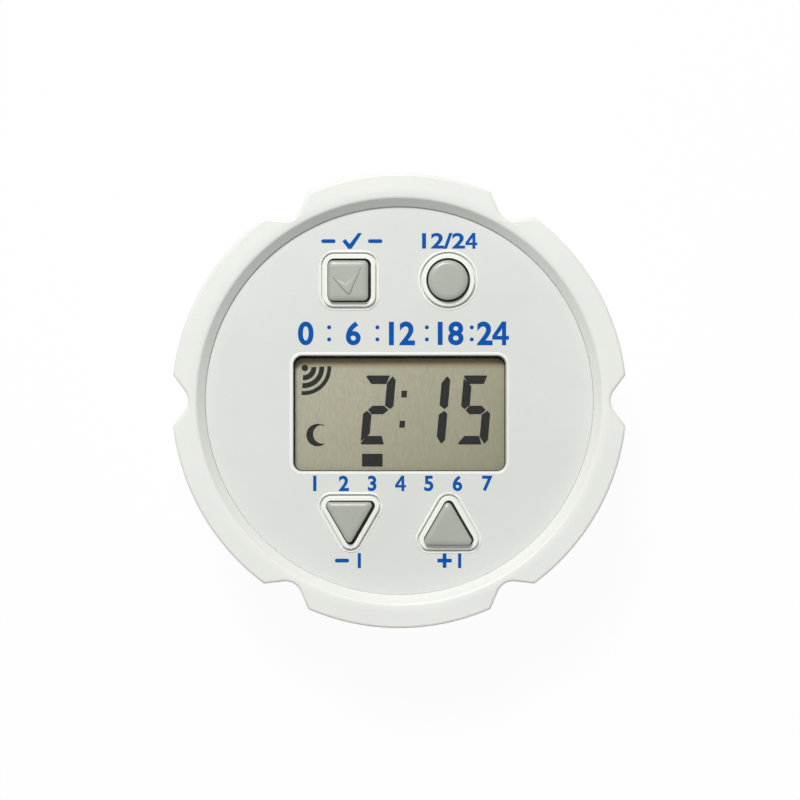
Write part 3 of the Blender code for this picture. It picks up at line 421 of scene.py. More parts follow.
def metal(name, colour, rough, brushed=0.004):
    made, tree, shader = new_material(name, Metallic=1.0)
    lines = noise(tree, 0.12, 2.0, (1.0, 0.08, 1.0))
    cloud = noise(tree, 2.2, 4.0)
    tint = blend_colours(tree, remap(tree, cloud, 0.35, 0.75, 0.0, 1.0), colour,
                         shade(colour, 0.82))
    tree.links.new(tint, shader.inputs["Base Color"])
    tree.links.new(remap(tree, cloud, 0.3, 0.7, rough - 0.06, rough + 0.10),
                   shader.inputs["Roughness"])
    bumps(tree, shader, [(lines, brushed), (cloud, brushed)])
    return made


def rubbery(name, colour, rough, grain, depth, drift=0.08, **sockets):
    """Rubber, foam and resin: a soft uneven skin with pits."""
    made, tree, shader = new_material(name, **sockets)
    cells = node(tree, "ShaderNodeTexVoronoi",
                 {"Vector": place_on(tree), "Scale": 1.0 / (grain * MM)}).outputs["Distance"]
    cloud = noise(tree, grain * 6.0, 4.0)
    tint = blend_colours(tree, remap(tree, cloud, 0.3, 0.7, 0.0, 1.0), shade(colour, 1 - drift),
                         shade(colour, 1 + drift))
    pitted = blend_colours(tree, remap(tree, cells, 0.0, 0.5, 0.5, 0.0), tint,
                           shade(colour, 0.8))
    tree.links.new(pitted, shader.inputs["Base Color"])
    tree.links.new(remap(tree, cells, 0.0, 0.8, rough + 0.05, rough - 0.08),
                   shader.inputs["Roughness"])
    bumps(tree, shader, [(cells, depth), (cloud, depth)])
    return made


def board_material():
    """Solder mask over copper: tracks show as raised lighter lines, pads as bare metal."""
    made, tree, shader = new_material("green_board")
    tracks = node(tree, "ShaderNodeTexBrick", {
        "Vector": place_on(tree), "Scale": 1.0 / (1.0 * MM), "Mortar Size": 0.035,
        "Brick Width": 2.6, "Row Height": 0.7, "Mortar Smooth": 0.1}).outputs["Fac"]
    cloud = noise(tree, 3.0, 3.0)
    mask = blend_colours(tree, remap(tree, cloud, 0.3, 0.7, 0.0, 1.0), (0.012, 0.13, 0.045),
                         (0.02, 0.19, 0.07))
    tree.links.new(blend_colours(tree, tracks, mask, (0.06, 0.33, 0.13)),
                   shader.inputs["Base Color"])
    tree.links.new(remap(tree, cloud, 0.3, 0.7, 0.24, 0.36), shader.inputs["Roughness"])
    bumps(tree, shader, [(tracks, 0.03), (noise(tree, 0.4), 0.004)])
    return made


def film_material():
    """The display's film: greenish grey, darker to the lower right, fine vertical grain, painted
    brown shadow along the top edge.
    """
    made, tree, shader = new_material("display_film", Roughness=0.5, Specular_IOR_Level=0.15)
    spot = node(tree, "ShaderNodeSeparateXYZ", {"Vector": place_on(tree)})
    across = remap(tree, spot.outputs["X"], -0.0130, 0.0130, 0.0, 0.58)
    down = remap(tree, spot.outputs["Y"], 0.0055, -0.0090, 0.0, 0.42)
    share = node(tree, "ShaderNodeMath", {0: across, 1: down}, operation="ADD").outputs[0]
    even = blend_colours(tree, share, (0.500, 0.480, 0.362), (0.290, 0.284, 0.190))
    # Painted shadow: the film turns dark brown towards its top edge, under the window's upper edge
    edge = remap(tree, spot.outputs["Y"], 0.00418, 0.00496, 0.0, 0.92)
    ground_with_painted_shadow = blend_colours(tree, edge, even, (0.245, 0.195, 0.075))
    streaks = noise(tree, 0.20, 3.0, (1.0, 0.22, 1.0))
    cloud = noise(tree, 1.1, 3.0)
    streaked = blend_colours(tree, remap(tree, streaks, 0.30, 0.70, 0.0, 0.32), ground_with_painted_shadow,
                             (0.19, 0.18, 0.11))
    tinted = blend_colours(tree, remap(tree, cloud, 0.35, 0.75, 0.0, 0.16), streaked,
                           (0.44, 0.36, 0.26))
    tree.links.new(tinted, shader.inputs["Base Color"])
    bumps(tree, shader, [(streaks, 0.002)])
    return made


def lens_material():
    """Clear moulded acrylic, see-through, with faint hairlines."""
    made, tree, shader = new_material("clear_lens", Base_Color=(0.90, 0.92, 0.90, 1.0),
                                      Alpha=0.012, IOR=1.49)
    cloud = noise(tree, 4.0, 2.0)
    tree.links.new(remap(tree, cloud, 0.3, 0.7, 0.03, 0.08), shader.inputs["Roughness"])
    bumps(tree, shader, [(noise(tree, 0.3, 1.0, (1.0, 0.05, 1.0)), 0.001)])
    return made


def ink_material(name, colour):
    """Screen-printed ink: even, slightly matt, with tiny pinholes of tone."""
    made, tree, shader = new_material(name, Specular_IOR_Level=0.06)
    specks = noise(tree, 0.15, 3.0)
    tree.links.new(blend_colours(tree, remap(tree, specks, 0.35, 0.7, 0.0, 1.0), colour,
                                 shade(colour, 0.72)), shader.inputs["Base Color"])
    tree.links.new(remap(tree, specks, 0.3, 0.7, 0.45, 0.62), shader.inputs["Roughness"])
    bumps(tree, shader, [(specks, 0.003)])
    return made


shell_white = moulded("shell_white", WHITE, 0.40, grain=0.20, depth=0.005, drift=0.02,
                      scratches=0.002)
face_pale = moulded("face_pale", PALE, 0.46, grain=0.15, depth=0.007, drift=0.02)
key_grey = moulded("key_grey", GREY, 0.42, grain=0.18, depth=0.006, drift=0.035,
                   Coat_Weight=0.35, Coat_Roughness=0.3)
# Painted shade: near-black walls deep in the key openings, where little light reaches
painted_opening_shade = moulded("painted_opening_shade", (0.055, 0.056, 0.050), 0.6, depth=0.004)
# Painted light: a paler colour on what stands above the face inside the rim
paint_light_inside_rim(shell_white, shade(WHITE, 1.06))
# Painted shade: the keys turn dark low on their sides, where they go down into their openings
paint_shade_below(key_grey, 22.9, 23.4, shade(GREY, 0.12))
pin_grey = moulded("plunger_grey", (0.36, 0.37, 0.36), 0.38, grain=0.2, depth=0.004)
holder_white = moulded("holder_white", (0.78, 0.78, 0.75), 0.5)
glass_grey = moulded("display_glass", (0.50, 0.52, 0.44), 0.12, depth=0.001)
strip_pink = rubbery("strip_rubber", (0.55, 0.27, 0.28), 0.65, 0.12, 0.01)
dome_rubber = rubbery("dome_rubber", (0.60, 0.60, 0.58), 0.55, 0.25, 0.006,
                      Subsurface_Weight=0.2)
foam_white = rubbery("foam_white", (0.80, 0.80, 0.77), 0.85, 0.16, 0.03, 0.03)
seal_black = rubbery("black_rubber", (0.025, 0.025, 0.026), 0.60, 0.2, 0.006)
carbon = rubbery("carbon", (0.02, 0.02, 0.022), 0.75, 0.10, 0.006)
resin = rubbery("chip_resin", (0.018, 0.018, 0.02), 0.28, 0.6, 0.02)
ceramic = moulded("ceramic", (0.42, 0.30, 0.18), 0.45, grain=0.08)
red_wire = moulded("red_wire", (0.50, 0.025, 0.02), 0.42)
black_wire = moulded("black_wire", (0.018, 0.018, 0.018), 0.42)
steel = metal("steel", (0.62, 0.62, 0.60), 0.26)
brass = metal("brass", (0.70, 0.50, 0.22), 0.30)
silver = metal("silver_film", (0.66, 0.65, 0.58), 0.38, 0.001)
green_board = board_material()
display_film = film_material()
clear_lens = lens_material()
blue_ink = ink_material("blue_ink", BLUE)
segment_dark = ink_material("segment_dark", (0.009, 0.011, 0.010))

BY_NODE = {
    "display_lens": clear_lens, "lcd_front_polariser": display_film, "lcd_glass": glass_grey,
    "lcd_reflector": silver, "lcd_holder": holder_white, "zebra_strip_upper": strip_pink,
    "zebra_strip_lower": strip_pink, "circuit_board": green_board, "controller_chip": resin,
    "timing_crystal": steel, "coin_cell": steel, "negative_contact": steel,
    "positive_contact": steel, "buzzer_disc": brass,
    "buzzer_lead_red": red_wire, "buzzer_lead_black": black_wire, "cover_seal": seal_black,
    "plunger_contact_pill": carbon,
}
for key in ("check", "mode", "down", "up"):
    BY_NODE[key + "_contact_pill"] = carbon
for number in (1, 2, 3, 4):
    BY_NODE[f"board_screw_{number}"] = steel
    if number < 4:
        BY_NODE[f"chip_capacitor_{number}"] = ceramic
for name, material in BY_NODE.items():
    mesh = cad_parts[name].data
    for index in range(len(mesh.materials)):
        mesh.materials[index] = material
    if not len(mesh.materials):
        mesh.materials.append(material)


# Keys

def key_list():
    """Name, sides, core radius, corner radius, turn and centre of each key."""
    square = (5.25 / 2 - 0.6) * math.sqrt(2)
    up = math.pi / 2
    return [
        ("check", 4, square, 0.6, up / 2, (-6.63, 15.92)),
        ("mode", 1, 0.0, 2.65, up, (6.48, 15.96)),
        ("down", 3, 2.95, 0.43, -up, (-6.47, -15.41)),
        ("up", 3, 3.0, 0.45, up, (6.54, -16.93)),
    ]


def key_outline(key, growth, shrink=1.0):
    _, sides, core, corner, turn, place = key
    steps = 64 if sides == 1 else 10
    points = rounded_polygon(sides, core, corner + growth, turn, steps)
    return [(place[0] + x * shrink, place[1] + y * shrink) for x, y in points]


def edge_shrink(key, inward):
    """The scale that brings the middle of a key's side inwards by a distance."""
    _, sides, core, corner, _, _ = key
    reach = corner if sides == 1 else core * math.cos(math.pi / sides) + corner
    return 1 - inward / reach


def settled(key):
    """The key as it rests in its opening, a little off its middle."""
    slip_x, slip_y = {"check": (-0.14, -0.07), "mode": (-0.05, -0.03), "down": (-0.15, 0.09),
                      "up": (-0.13, -0.10)}[key[0]]
    return (*key[:-1], (key[-1][0] + slip_x, key[-1][1] + slip_y))


def make_key(key):
    """A key with a soft top edge and a slightly crowned top."""
    key = settled(key)
    name, place = key[0], key[-1]
    flange_low, flange_high, flange_growth = KEY_FLANGE
    edge = [(0.0, 0.35), (0.01, 0.28), (0.04, 0.21), (0.09, 0.16), (0.16, 0.115), (0.25, 0.075),
            (0.36, 0.04), (0.48, 0.015), (0.60, 0.003)]
    side = {"check": 0.02, "mode": -0.03, "down": 0.01, "up": 0.08}[name]
    levels = [(key_outline(key, side), KEY_FOOT), (key_outline(key, side), flange_low),
              (key_outline(key, flange_growth), flange_low),
              (key_outline(key, flange_growth), flange_high),
              (key_outline(key, side), flange_high)]
    levels += [(key_outline(key, side, edge_shrink(key, inward)), KEY_TOP - drop)
               for inward, drop in edge]
    for shrink, rise in ((0.70, 0.002), (0.45, 0.008), (0.22, 0.012), (0.06, 0.014)):
        levels.append((key_outline(key, side, shrink), KEY_TOP + rise))
    made = lofted(name + "_key_cap", levels)
    if name == "check":
        tick = [(-2.08, 0.47), (-0.15, -1.80), (0.27, -1.88), (1.80, 1.84), (-0.31, -0.33)]
        tick = [(place[0] + x, place[1] + y) for x, y in tick]
        slope = [(inset(tick, inward), KEY_TOP + rise)
                 for inward, rise in ((0.09, 0.11), (0.18, 0.17), (0.26, 0.19))]
        mark = lofted("tick", [(tick, 24.0), (tick, KEY_TOP + 0.02)] + slope)
        combine(made, mark, "UNION")
    return finish(made, key_grey, name + "_key", [name + "_button"], 50.0)


def make_dome(name):
    """The hollow rubber dome under a key, riding on the cap; the real dome sinks as the key goes
    down.
    """
    low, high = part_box(name + "_dome")
    middle, foot, top = (low + high) / 2 / MM, low.z / MM, high.z / MM
    profile = [(0.0, top)] + arc_points((1.55, top - 0.15), 0.15, 90, 15, 4)
    profile += [(1.76, top - 0.45), (1.90, top - 1.00), (2.05, foot + 0.90)]
    profile += arc_points((2.55, foot + 0.75), 0.35, 195, 270, 4)
    profile += arc_points((2.78, foot + 0.28), 0.12, 90, 0, 3)
    profile += [(2.9, foot), (1.8, foot), (1.55, foot + 0.85), (1.38, top - 0.75),
                (1.30, top - 0.7), (0.0, top - 0.7)]
    dome = turned(name + "_dome_fine", profile, 48, (middle.x, middle.y))
    finish(dome, dome_rubber, "cap", [name + "_dome"])
    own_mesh(dome)


# Face plate

def make_face_plate():
    """The inset face with its window, soft collars, bosses and posts."""
    disc = [circle(radius, 192) for radius in (FACE_RADIUS - 0.1, FACE_RADIUS)]
    face = lofted("face_plate_fine", [
        (disc[0], FACE_BOTTOM), (disc[1], FACE_BOTTOM + 0.1), (disc[1], FACE_TOP - 0.06),
        (circle(FACE_RADIUS - 0.02, 192), FACE_TOP - 0.02),
        (circle(FACE_RADIUS - 0.08, 192), FACE_TOP)])
    for key in key_list():
        # Levels give the growth beyond the key's outline, and the height
        lip = [(1.38, 21.9), (1.38, 22.99), (1.37, 23.03), (1.33, 23.07), (1.27, 23.09),
               (1.18, 23.09)]
        combine(face, lofted("lip", [(key_outline(key, grow), height) for grow, height in lip]),
                "UNION")
        levels = [(0.88, 21.9), (0.88, 23.10), (0.87, 23.19), (0.85, 23.26), (0.81, 23.31),
                  (0.77, 23.335), (0.70, 23.35)]
        rim = lofted("collar", [(key_outline(key, grow), height) for grow, height in levels])
        moat = lofted("moat", [(key_outline(key, 1.12), height) for height in (22.6, 24.0)])
        combine(face, moat)
        combine(face, rim, "UNION")
    bosses = [circle(1.9, 40, place) for place in screw_places()]
    combine(face, prisms("bosses", bosses, PARTITION_TOP + 0.2, FACE_BOTTOM + 0.3), "UNION")
    posts = [((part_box(f"board_screw_{number}")[0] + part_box(f"board_screw_{number}")[1]) / 2 / MM)
             for number in (1, 2, 3, 4)]
    lumps = [circle(1.5, 32, (post.x, post.y)) for post in posts]
    combine(face, prisms("posts", lumps, 17.6, FACE_BOTTOM + 0.3), "UNION")
    for key in key_list():
        levels = [(KEY_GAP, 20.0), (KEY_GAP, 23.28), (KEY_GAP + 0.01, 23.32),
                  (KEY_GAP + 0.03, 23.345), (KEY_GAP + 0.07, 23.355), (KEY_GAP + 0.07, 24.0)]
        hole = lofted("hole", [(key_outline(key, grow), height) for grow, height in levels])
        combine(face, hole)
    width, height, corner = WINDOW

    def window_outline(grow, shift=0.0):
        return rounded_box(width + 2 * grow, height + 2 * grow, corner + grow,
                           (WINDOW_CENTRE[0] + shift, WINDOW_CENTRE[1] - shift / 3), 12)

    lip = [(0.50, 22.5), (0.50, 23.0), (0.47, 23.022), (0.41, 23.036), (0.33, 23.04)]
    combine(face, lofted("window_lip", [(window_outline(grow), level) for grow, level in lip]),
            "UNION")
    rebate = rounded_box(width + 2.4, height + 2.4, corner + 1.0, WINDOW_CENTRE)
    combine(face, prisms("rebate", [rebate], 19.0, 22.4))
    levels = [(0.0, 22.1, 0.0), (0.09, 22.80, 0.06), (0.11, 22.89, 0.08), (0.15, 22.96, 0.09),
              (0.20, 23.01, 0.09), (0.28, 23.041, 0.09), (0.28, 24.0, 0.09)]
    window = [(window_outline(grow, shift), level) for grow, level, shift in levels]
    combine(face, lofted("window", window))
    bores = [circle(1.05, 24, place) for place in screw_places()]
    combine(face, prisms("bores", bores, 11.0, 17.65))
    bores = [circle(0.9, 20, (post.x, post.y)) for post in posts]
    combine(face, prisms("post_bores", bores, 17.0, 20.0))
    finish(face, face_pale, "cap", ["face_plate"])
    face.data.materials.append(shell_white)
    face.data.materials.append(painted_opening_shade)
    centres = [key[-1] for key in key_list()]
    for side in face.data.polygons:
        high, middle = side.center.z / MM, side.center.xy / MM
        near_key = min(math.dist(middle, centre) for centre in centres) < 4.6
        near_window = abs(middle.x) < 14.8 and abs(middle.y - WINDOW_CENTRE[1]) < 8.4
        on_face = abs(high - FACE_TOP) < 0.0005
        if (near_key or near_window) and high > 22.5 and not on_face:
            side.material_index = WHITE_SLOT
        # Painted shade: the walls deep in the key openings take the near-black material
        if near_key and FACE_BOTTOM + 0.05 < high < 22.55 and abs(side.normal.z) < 0.1:
            side.material_index = PAINTED_SHADE_SLOT
    return face


# Shell

def shell_interior():
    """All that is hollow in the shell, from above the rim down to below the foot."""
    profile = [(0.0, 27.0), (28.0, 27.0), (28.0, RIM_TOP), (27.6, 24.988), (27.25, 24.965)]
    profile += arc_points((27.04, 24.435), 0.5, 98, 146, 7)
    profile += [
        (25.76, 23.38), (25.74, 23.30), (FACE_RECESS, FACE_TOP),
        (FACE_RECESS, FACE_BOTTOM - 0.2),
        (LEDGE_RADIUS, FACE_BOTTOM - 0.2),
        (LEDGE_RADIUS, FACE_BOTTOM - 1.2), (ROOM_RADIUS, FACE_BOTTOM - 2.1),
        (ROOM_RADIUS, PARTITION_TOP), (13.9, PARTITION_TOP), (13.9, 13.4), (11.5, 13.4),
        (11.5, 15.5), (10.3, 15.5), (10.3, 12.5), (12.9, 12.5), (12.9, PARTITION_BOTTOM + 0.12),
        (13.02, PARTITION_BOTTOM)]
    profile += arc_points((NECK_RADIUS - 0.18, PARTITION_BOTTOM - 0.18), 0.18, 90, 0, 4)
    profile += arc_points((NECK_RADIUS + 0.5, 0.5), 0.5, 180, 270, 5)[:-1]
    profile += [(NECK_RADIUS + 0.5, 0.0), (NECK_RADIUS + 0.5, -2.0), (0.0, -2.0)]
    return turned("interior", profile, 192)


def thread_ridge():
    """The helical ridge inside the skirt that takes the bottle's thread."""
    turns, pitch, steps = 1.25, 4.2, 150
    section = [(0.22, -1.0), (-0.25, -0.82), (-0.78, -0.50), (-0.95, -0.34), (-1.0, -0.12),
               (-1.0, 0.12), (-0.95, 0.34), (-0.78, 0.50), (-0.25, 0.82), (0.22, 1.0)]
    rings = []
    for step in range(steps + 1):
        share = step / steps
        angle = math.radians(35.0) + 2 * math.pi * turns * share
        ease = min(share, 1 - share) / 0.055
        size = 1.0 if ease >= 1 else ease * ease * (3 - 2 * ease)
        size = max(size, 0.02)
        height = 1.9 + pitch * turns * share
        ring = []
        for out, up in section:
            radius = NECK_RADIUS + (out if out > 0 else out * size)
            ring.append((*polar(radius, angle), height + up * (0.35 + 0.65 * size)))
        rings.append(ring)
    shape = bmesh.new()
    add_loft(shape, rings)
    return to_object("thread", shape)


def make_shell():
    """The outer moulding with its scallops, raised rim, partition, thread and tabs."""
    outline = scalloped_outline()
    levels = []
    for step in range(5):
        lean = math.pi / 2 * step / 4
        levels.append((inset(outline, 0.3 * (1 - math.sin(lean))), 0.3 * (1 - math.cos(lean))))
    for step in range(8):
        lean = math.pi / 2 * step / 7
        levels.append((inset(outline, 0.4 * (1 - math.cos(lean))),
                       RIM_TOP - 0.4 * (1 - math.sin(lean))))
    shell = lofted("cap_shell_fine", levels)
    combine(shell, shell_interior())
    combine(shell, thread_ridge(), "UNION")
    locks = [math.pi / 2 + 2 * math.pi / 3 * number for number in range(3)]
    tabs = [sector(11.9, 13.4, angle, math.radians(30.0), 12) for angle in locks]
    combine(shell, prisms("tabs", tabs, PARTITION_BOTTOM, PARTITION_BOTTOM + 0.75), "UNION")
    places = screw_places()
    combine(shell, prisms("sinks", [circle(2.05, 40, place) for place in places], 8.0, 11.45))
    holes = [circle(1.1, 28, place) for place in places] + [circle(1.25, 32, PLUNGER_PLACE)]
    combine(shell, prisms("holes", holes, 8.0, 14.0))
    marks = [circle(1.3, 36, polar(17.6, math.radians(angle))) for angle in (22, 135, 202, 315)]
    combine(shell, prisms("ejector_marks", marks, 9.0, PARTITION_BOTTOM + 0.07))
    notch = rounded_box(3.2, 4.3, 0.3, (10.9, 0.0))
    combine(shell, prisms("notch", [notch], 13.05, 18.0))
    slots = []
    for lobe in range(6):
        middle, spread = math.pi / 3 * (lobe + 0.5), math.radians(40.0)
        slots.append(sector(27.85, 28.85, middle, spread, 20))
    combine(shell, prisms("core_slots", slots, -2.0, 16.0))
    return finish(shell, shell_white, "cap", ["cap_shell"])


# Pieces of the underside

def make_cover():
    """The battery cover with coin slot, notches, raised ring and turning arrows."""
    profile = [(0.0, 12.3), (10.45, 12.3), (10.45, 11.75), (11.15, 11.75), (11.15, 12.3)]
    profile += arc_points((12.55, 12.2), 0.1, 90, 0, 3) + arc_points((12.55, 11.45), 0.1, 0, -90, 3)
    profile += [(11.5, 11.35), (11.5, 10.75), (11.45, 10.66), (11.36, 10.61), (11.3, 10.6)]
    profile += [(9.6, 10.6), (9.5, 10.66), (9.1, 10.66), (9.0, 10.6), (0.0, 10.6)]
    cover = turned("battery_cover_fine", profile, 144)
    locks = [math.pi / 2 + 2 * math.pi / 3 * number + math.pi / 3 for number in range(3)]
    notches = [sector(11.7, 15.0, angle, math.radians(36.0), 12) for angle in locks]
    combine(cover, prisms("notches", notches, 9.0, 14.0))
    length, width = COVER_SLOT
    corner = width / 2 - 0.001
    levels = [(rounded_box(length + 2 * grow, width + 2 * grow, corner + grow, (0.0, 0.0), 14),
               level)
              for grow, level in ((-0.1, 11.4), (0.0, 11.3), (0.0, 10.72), (0.03, 10.65),
                                  (0.10, 10.6), (0.12, 10.2))]
    combine(cover, lofted("slot", list(reversed(levels))))
    arrows = []
    for start in (35.0, 215.0):
        arrows.append(sector(6.35, 6.75, math.radians(start + 24), math.radians(42), 14))
        tip = math.radians(start)
        arrows.append([polar(6.55, tip - 0.10), polar(7.15, tip + 0.10), polar(5.95, tip + 0.10)])
    for angle, radius in ((math.radians(125), 0.55), (math.radians(305), 0.55)):
        arrows.append(circle(radius, 28, polar(6.55, angle)))
    for arrow in arrows:
        combine(cover, prisms("arrow", [arrow], 9.5, 10.72))
    return finish(cover, shell_white, "battery_door", ["battery_cover"])


def make_screw(number, place):
    """A case screw with a low domed head and a cross recess."""
    head = 10.5
    profile = [(0.0, 17.45), (0.42, 17.45), (0.85, 16.85)]
    height = 16.7
    while height > 11.6:
        profile += [(0.85, height), (0.66, height - 0.18), (0.85, height - 0.36)]
        height -= 0.42
    profile += [(0.85, 11.25), (1.8, 11.25), (1.8, 10.82)]
    profile += [(1.76, 10.70), (1.66, 10.61), (1.45, 10.54), (1.1, head + 0.005), (0.0, head)]
    screw = turned(f"case_screw_{number}_fine", profile, 36, place)
    arm, half, end = 1.08, 0.27, 0.22
    cross = []
    for quarter in range(4):
        lean = math.pi / 2 * quarter
        for x, y in ((arm, -end), (arm, end), (half, half)):
            cross.append((x * math.cos(lean) - y * math.sin(lean) + place[0],
                          x * math.sin(lean) + y * math.cos(lean) + place[1]))
    middle = Vector(place)
    deep = [tuple(middle + (Vector(point) - middle) * 0.55) for point in cross]
    combine(screw, lofted("recess", [(deep, 11.0), (cross, 10.45), (cross, 10.0)]))
    return finish(screw, steel, "cap", [f"case_screw_{number}"], 40.0)


def make_plunger():
    """The pin that the bottle's lip pushes up."""
    profile = [(0.0, 14.4), (0.85, 14.4), (0.9, 14.35), (0.9, 13.3), (1.9, 13.3), (1.9, 12.4),
               (1.0, 12.4)]
    profile += arc_points((0.4, 8.5), 0.6, 0, -90, 9)[:-1] + [(0.0, 7.9)]
    pin = turned("opening_plunger_fine", profile, 48, PLUNGER_PLACE)
    return finish(pin, pin_grey, "plunger", ["opening_plunger"])


def make_spring():
    """The pin's return spring, riding on the cap; the real spring shortens towards the board as the
    pin goes up.
    """
    low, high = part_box("plunger_spring")
    wire, radius, turns, steps, sides = 0.175, 1.55, 2.5, 120, 12
    bottom, climb = low.z / MM + wire, (high.z - low.z) / MM - 2 * wire
    rings = []
    for step in range(steps + 1):
        angle = 2 * math.pi * turns * step / steps
        height = bottom + climb * step / steps
        ring = []
        for side in range(sides):
            out, up = polar(wire, 2 * math.pi * side / sides)
            x, y = polar(radius + out, angle)
            ring.append((PLUNGER_PLACE[0] + x, PLUNGER_PLACE[1] + y, height + up))
        rings.append(ring)
    shape = bmesh.new()
    add_loft(shape, rings)
    spring = to_object("plunger_spring_fine", shape)
    finish(spring, steel, "cap", ["plunger_spring"], 60.0)
    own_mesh(spring)


def make_liner():
    """The foam ring that seals on the bottle's lip."""
    profile = [(21.25, 9.3), (21.35, 9.2), (26.25, 9.2), (26.4, 9.35), (26.4, 10.2),
               (21.25, 10.2)]
    liner = turned("seal_liner_fine", profile, 192, closed=True)
    combine(liner, prisms("pin_hole", [circle(1.5, 40, PLUNGER_PLACE)], 8.0, 11.0))
    return finish(liner, foam_white, "cap", ["seal_liner"])


# Display marks

def digit_parts(width, height, thick):
    """The seven segments of a digit, from its lower left corner."""
    w, h, t = width, height, thick
    half = h / 2
    top = [(0.14, h), (w - 0.83, h), (w - 1.22, h - t), (0.76, h - t), (0.02, h - 0.20)]
    right_top = [(w - t, h - 1.02), (w - 0.50, h - 0.14), (w - 0.38, h - 0.14), (w, h - 0.62),
                 (w, half + 0.52), (w - 0.40, half + 0.11), (w - t, half + 0.60)]
    left_top = [(0.0, h - 0.50), (0.10, h - 0.46), (t - 0.12, h - 1.30), (t, h - 1.46),
                (t, half + 0.60), (0.45, half + 0.11), (0.0, half + 0.52)]
    middle = [(0.62, half), (1.16, half + t / 2), (w - t - 0.12, half + t / 2),
              (w - 0.62, half), (w - t - 0.12, half - t / 2), (1.16, half - t / 2)]

    def flipped(points, across, up):
        return [(w - x if across else x, h - y if up else y) for x, y in points]

    return {"a": top, "b": right_top, "c": flipped(right_top, False, True), "g": middle,
            "d": flipped(top, False, True), "e": flipped(left_top, False, True),
            "f": left_top}


LIT = {"1": "bc", "2": "abged", "5": "afgcd"}


def make_segments():
    """The time, the day block, the moon and the sound sign, as thin dark pieces on the film."""
    slant = math.tan(DIGIT_SLANT)
    shapes = []
    for figure, left in (("2", -5.2), ("1", 2.08), ("5", 7.80)):
        parts = digit_parts(*DIGIT)
        for part in LIT[figure]:
            shapes.append([(left + x + y * slant, DIGIT_FOOT + y) for x, y in parts[part]])
    for x, y in ((0.62, 0.87), (0.36, -3.15)):
        shapes.append([(x - 0.38, y - 0.46), (x + 0.36, y - 0.46), (x + 0.44, y + 0.46),
                       (x - 0.30, y + 0.46)])
    shapes.append([(-4.98, -8.80), (-2.22, -8.80), (-2.22, -7.09), (-4.98, -7.09)])
    shapes.append(circle(0.44, 24, (-12.6, 4.36)))
    for radius, thick in ((1.34, 0.68), (2.40, 0.66), (3.40, 0.52)):
        arc = sector(radius - thick / 2, radius + thick / 2, math.radians(-46),
                     math.radians(98), 20)
        shapes.append([(x + SOUND_SIGN[0], y + SOUND_SIGN[1]) for x, y in arc])
    moon = [polar(1.25, math.radians(55 + 250 * step / 30)) for step in range(31)]
    moon += [(0.55 + 1.05 * math.cos(math.radians(a)), 0.1 + 1.05 * math.sin(math.radians(a)))
             for a in (282 - 204 * step / 24 for step in range(25))]
    shapes.append([(x * 1.2 - 10.9, y * 1.2 - 4.6) for x, y in moon])
    made = prisms("display_segments", shapes, FILM_TOP + 0.002, FILM_TOP + 0.022)
    return finish(made, segment_dark, "cap")


def make_painted_window_shadow():
    """A dark sheet under the lens that paints the shadow of the window's edge: only a thin line
    shows, widest at the top and left.
    """
    width, height, corner = WINDOW
    outer = rounded_box(width + 1.2, height + 1.2, corner + 0.6, WINDOW_CENTRE)
    inner = rounded_box(width - 0.17, height - 0.32, corner - 0.1,
                        (WINDOW_CENTRE[0] + 0.055, WINDOW_CENTRE[1] - 0.14))
    shadow_sheet = prisms("painted_window_shadow", [outer], 21.36, 21.395)
    combine(shadow_sheet, prisms("painted_shadow_hole", [inner], 21.0, 22.0))
    return finish(shadow_sheet, segment_dark, "cap")


# Printed marks

def text_mesh(body, centre, width, height, bold):
    """Figures as a flat mesh, fitted to a width and height in millimetres."""
    curve = bpy.data.curves.new("figures", "FONT")
    curve.body = body
    curve.size = 1.0
    curve.offset = bold
    curve.resolution_u = 6
    holder = new_object("figures", curve)
    bpy.context.view_layer.update()
    graph = bpy.context.evaluated_depsgraph_get()
    mesh = bpy.data.meshes.new_from_object(holder.evaluated_get(graph))
    bpy.data.objects.remove(holder, do_unlink=True)
    xs = [vertex.co.x for vertex in mesh.vertices]
    ys = [vertex.co.y for vertex in mesh.vertices]
    grow_y = height / (max(ys) - min(ys))
    grow_x = width / (max(xs) - min(xs)) if width else grow_y
    middle = Vector(((max(xs) + min(xs)) / 2, (max(ys) + min(ys)) / 2, 0.0))
    fit = Matrix.Translation((*centre, 0.0)) @ Matrix.Diagonal((grow_x, grow_y, 1.0, 1.0))
    mesh.transform(fit @ Matrix.Translation(-middle))
    return mesh


def printed(name, texts, outlines):
    """Ink marks with a little body, standing on the face."""
    shape = bmesh.new()
    for body, centre, width, height, bold in texts:
        mesh = text_mesh(body, centre, width, height, bold)
        shape.from_mesh(mesh)
        bpy.data.meshes.remove(mesh)
    for outline in outlines:
        shape.faces.new([shape.verts.new((x, y, 0.0)) for x, y in outline])
    bmesh.ops.remove_doubles(shape, verts=shape.verts, dist=1e-4)
    bmesh.ops.recalc_face_normals(shape, faces=shape.faces)
    drawn = bmesh.ops.extrude_face_region(shape, geom=shape.faces[:])["geom"]
    risen = [item for item in drawn if isinstance(item, bmesh.types.BMVert)]
    bmesh.ops.translate(shape, verts=shape.verts, vec=(0.0, 0.0, FACE_TOP - INK_SUNK))
    bmesh.ops.translate(shape, verts=risen, vec=(0.0, 0.0, INK_THICK))
    made = to_object(name, shape)
    return finish(made, blue_ink, "cap")


def bar(x, y, width, height):
    """A short line with round ends."""
    return rounded_box(width, height, min(width, height) / 2 - 0.01, (x, y), 5)


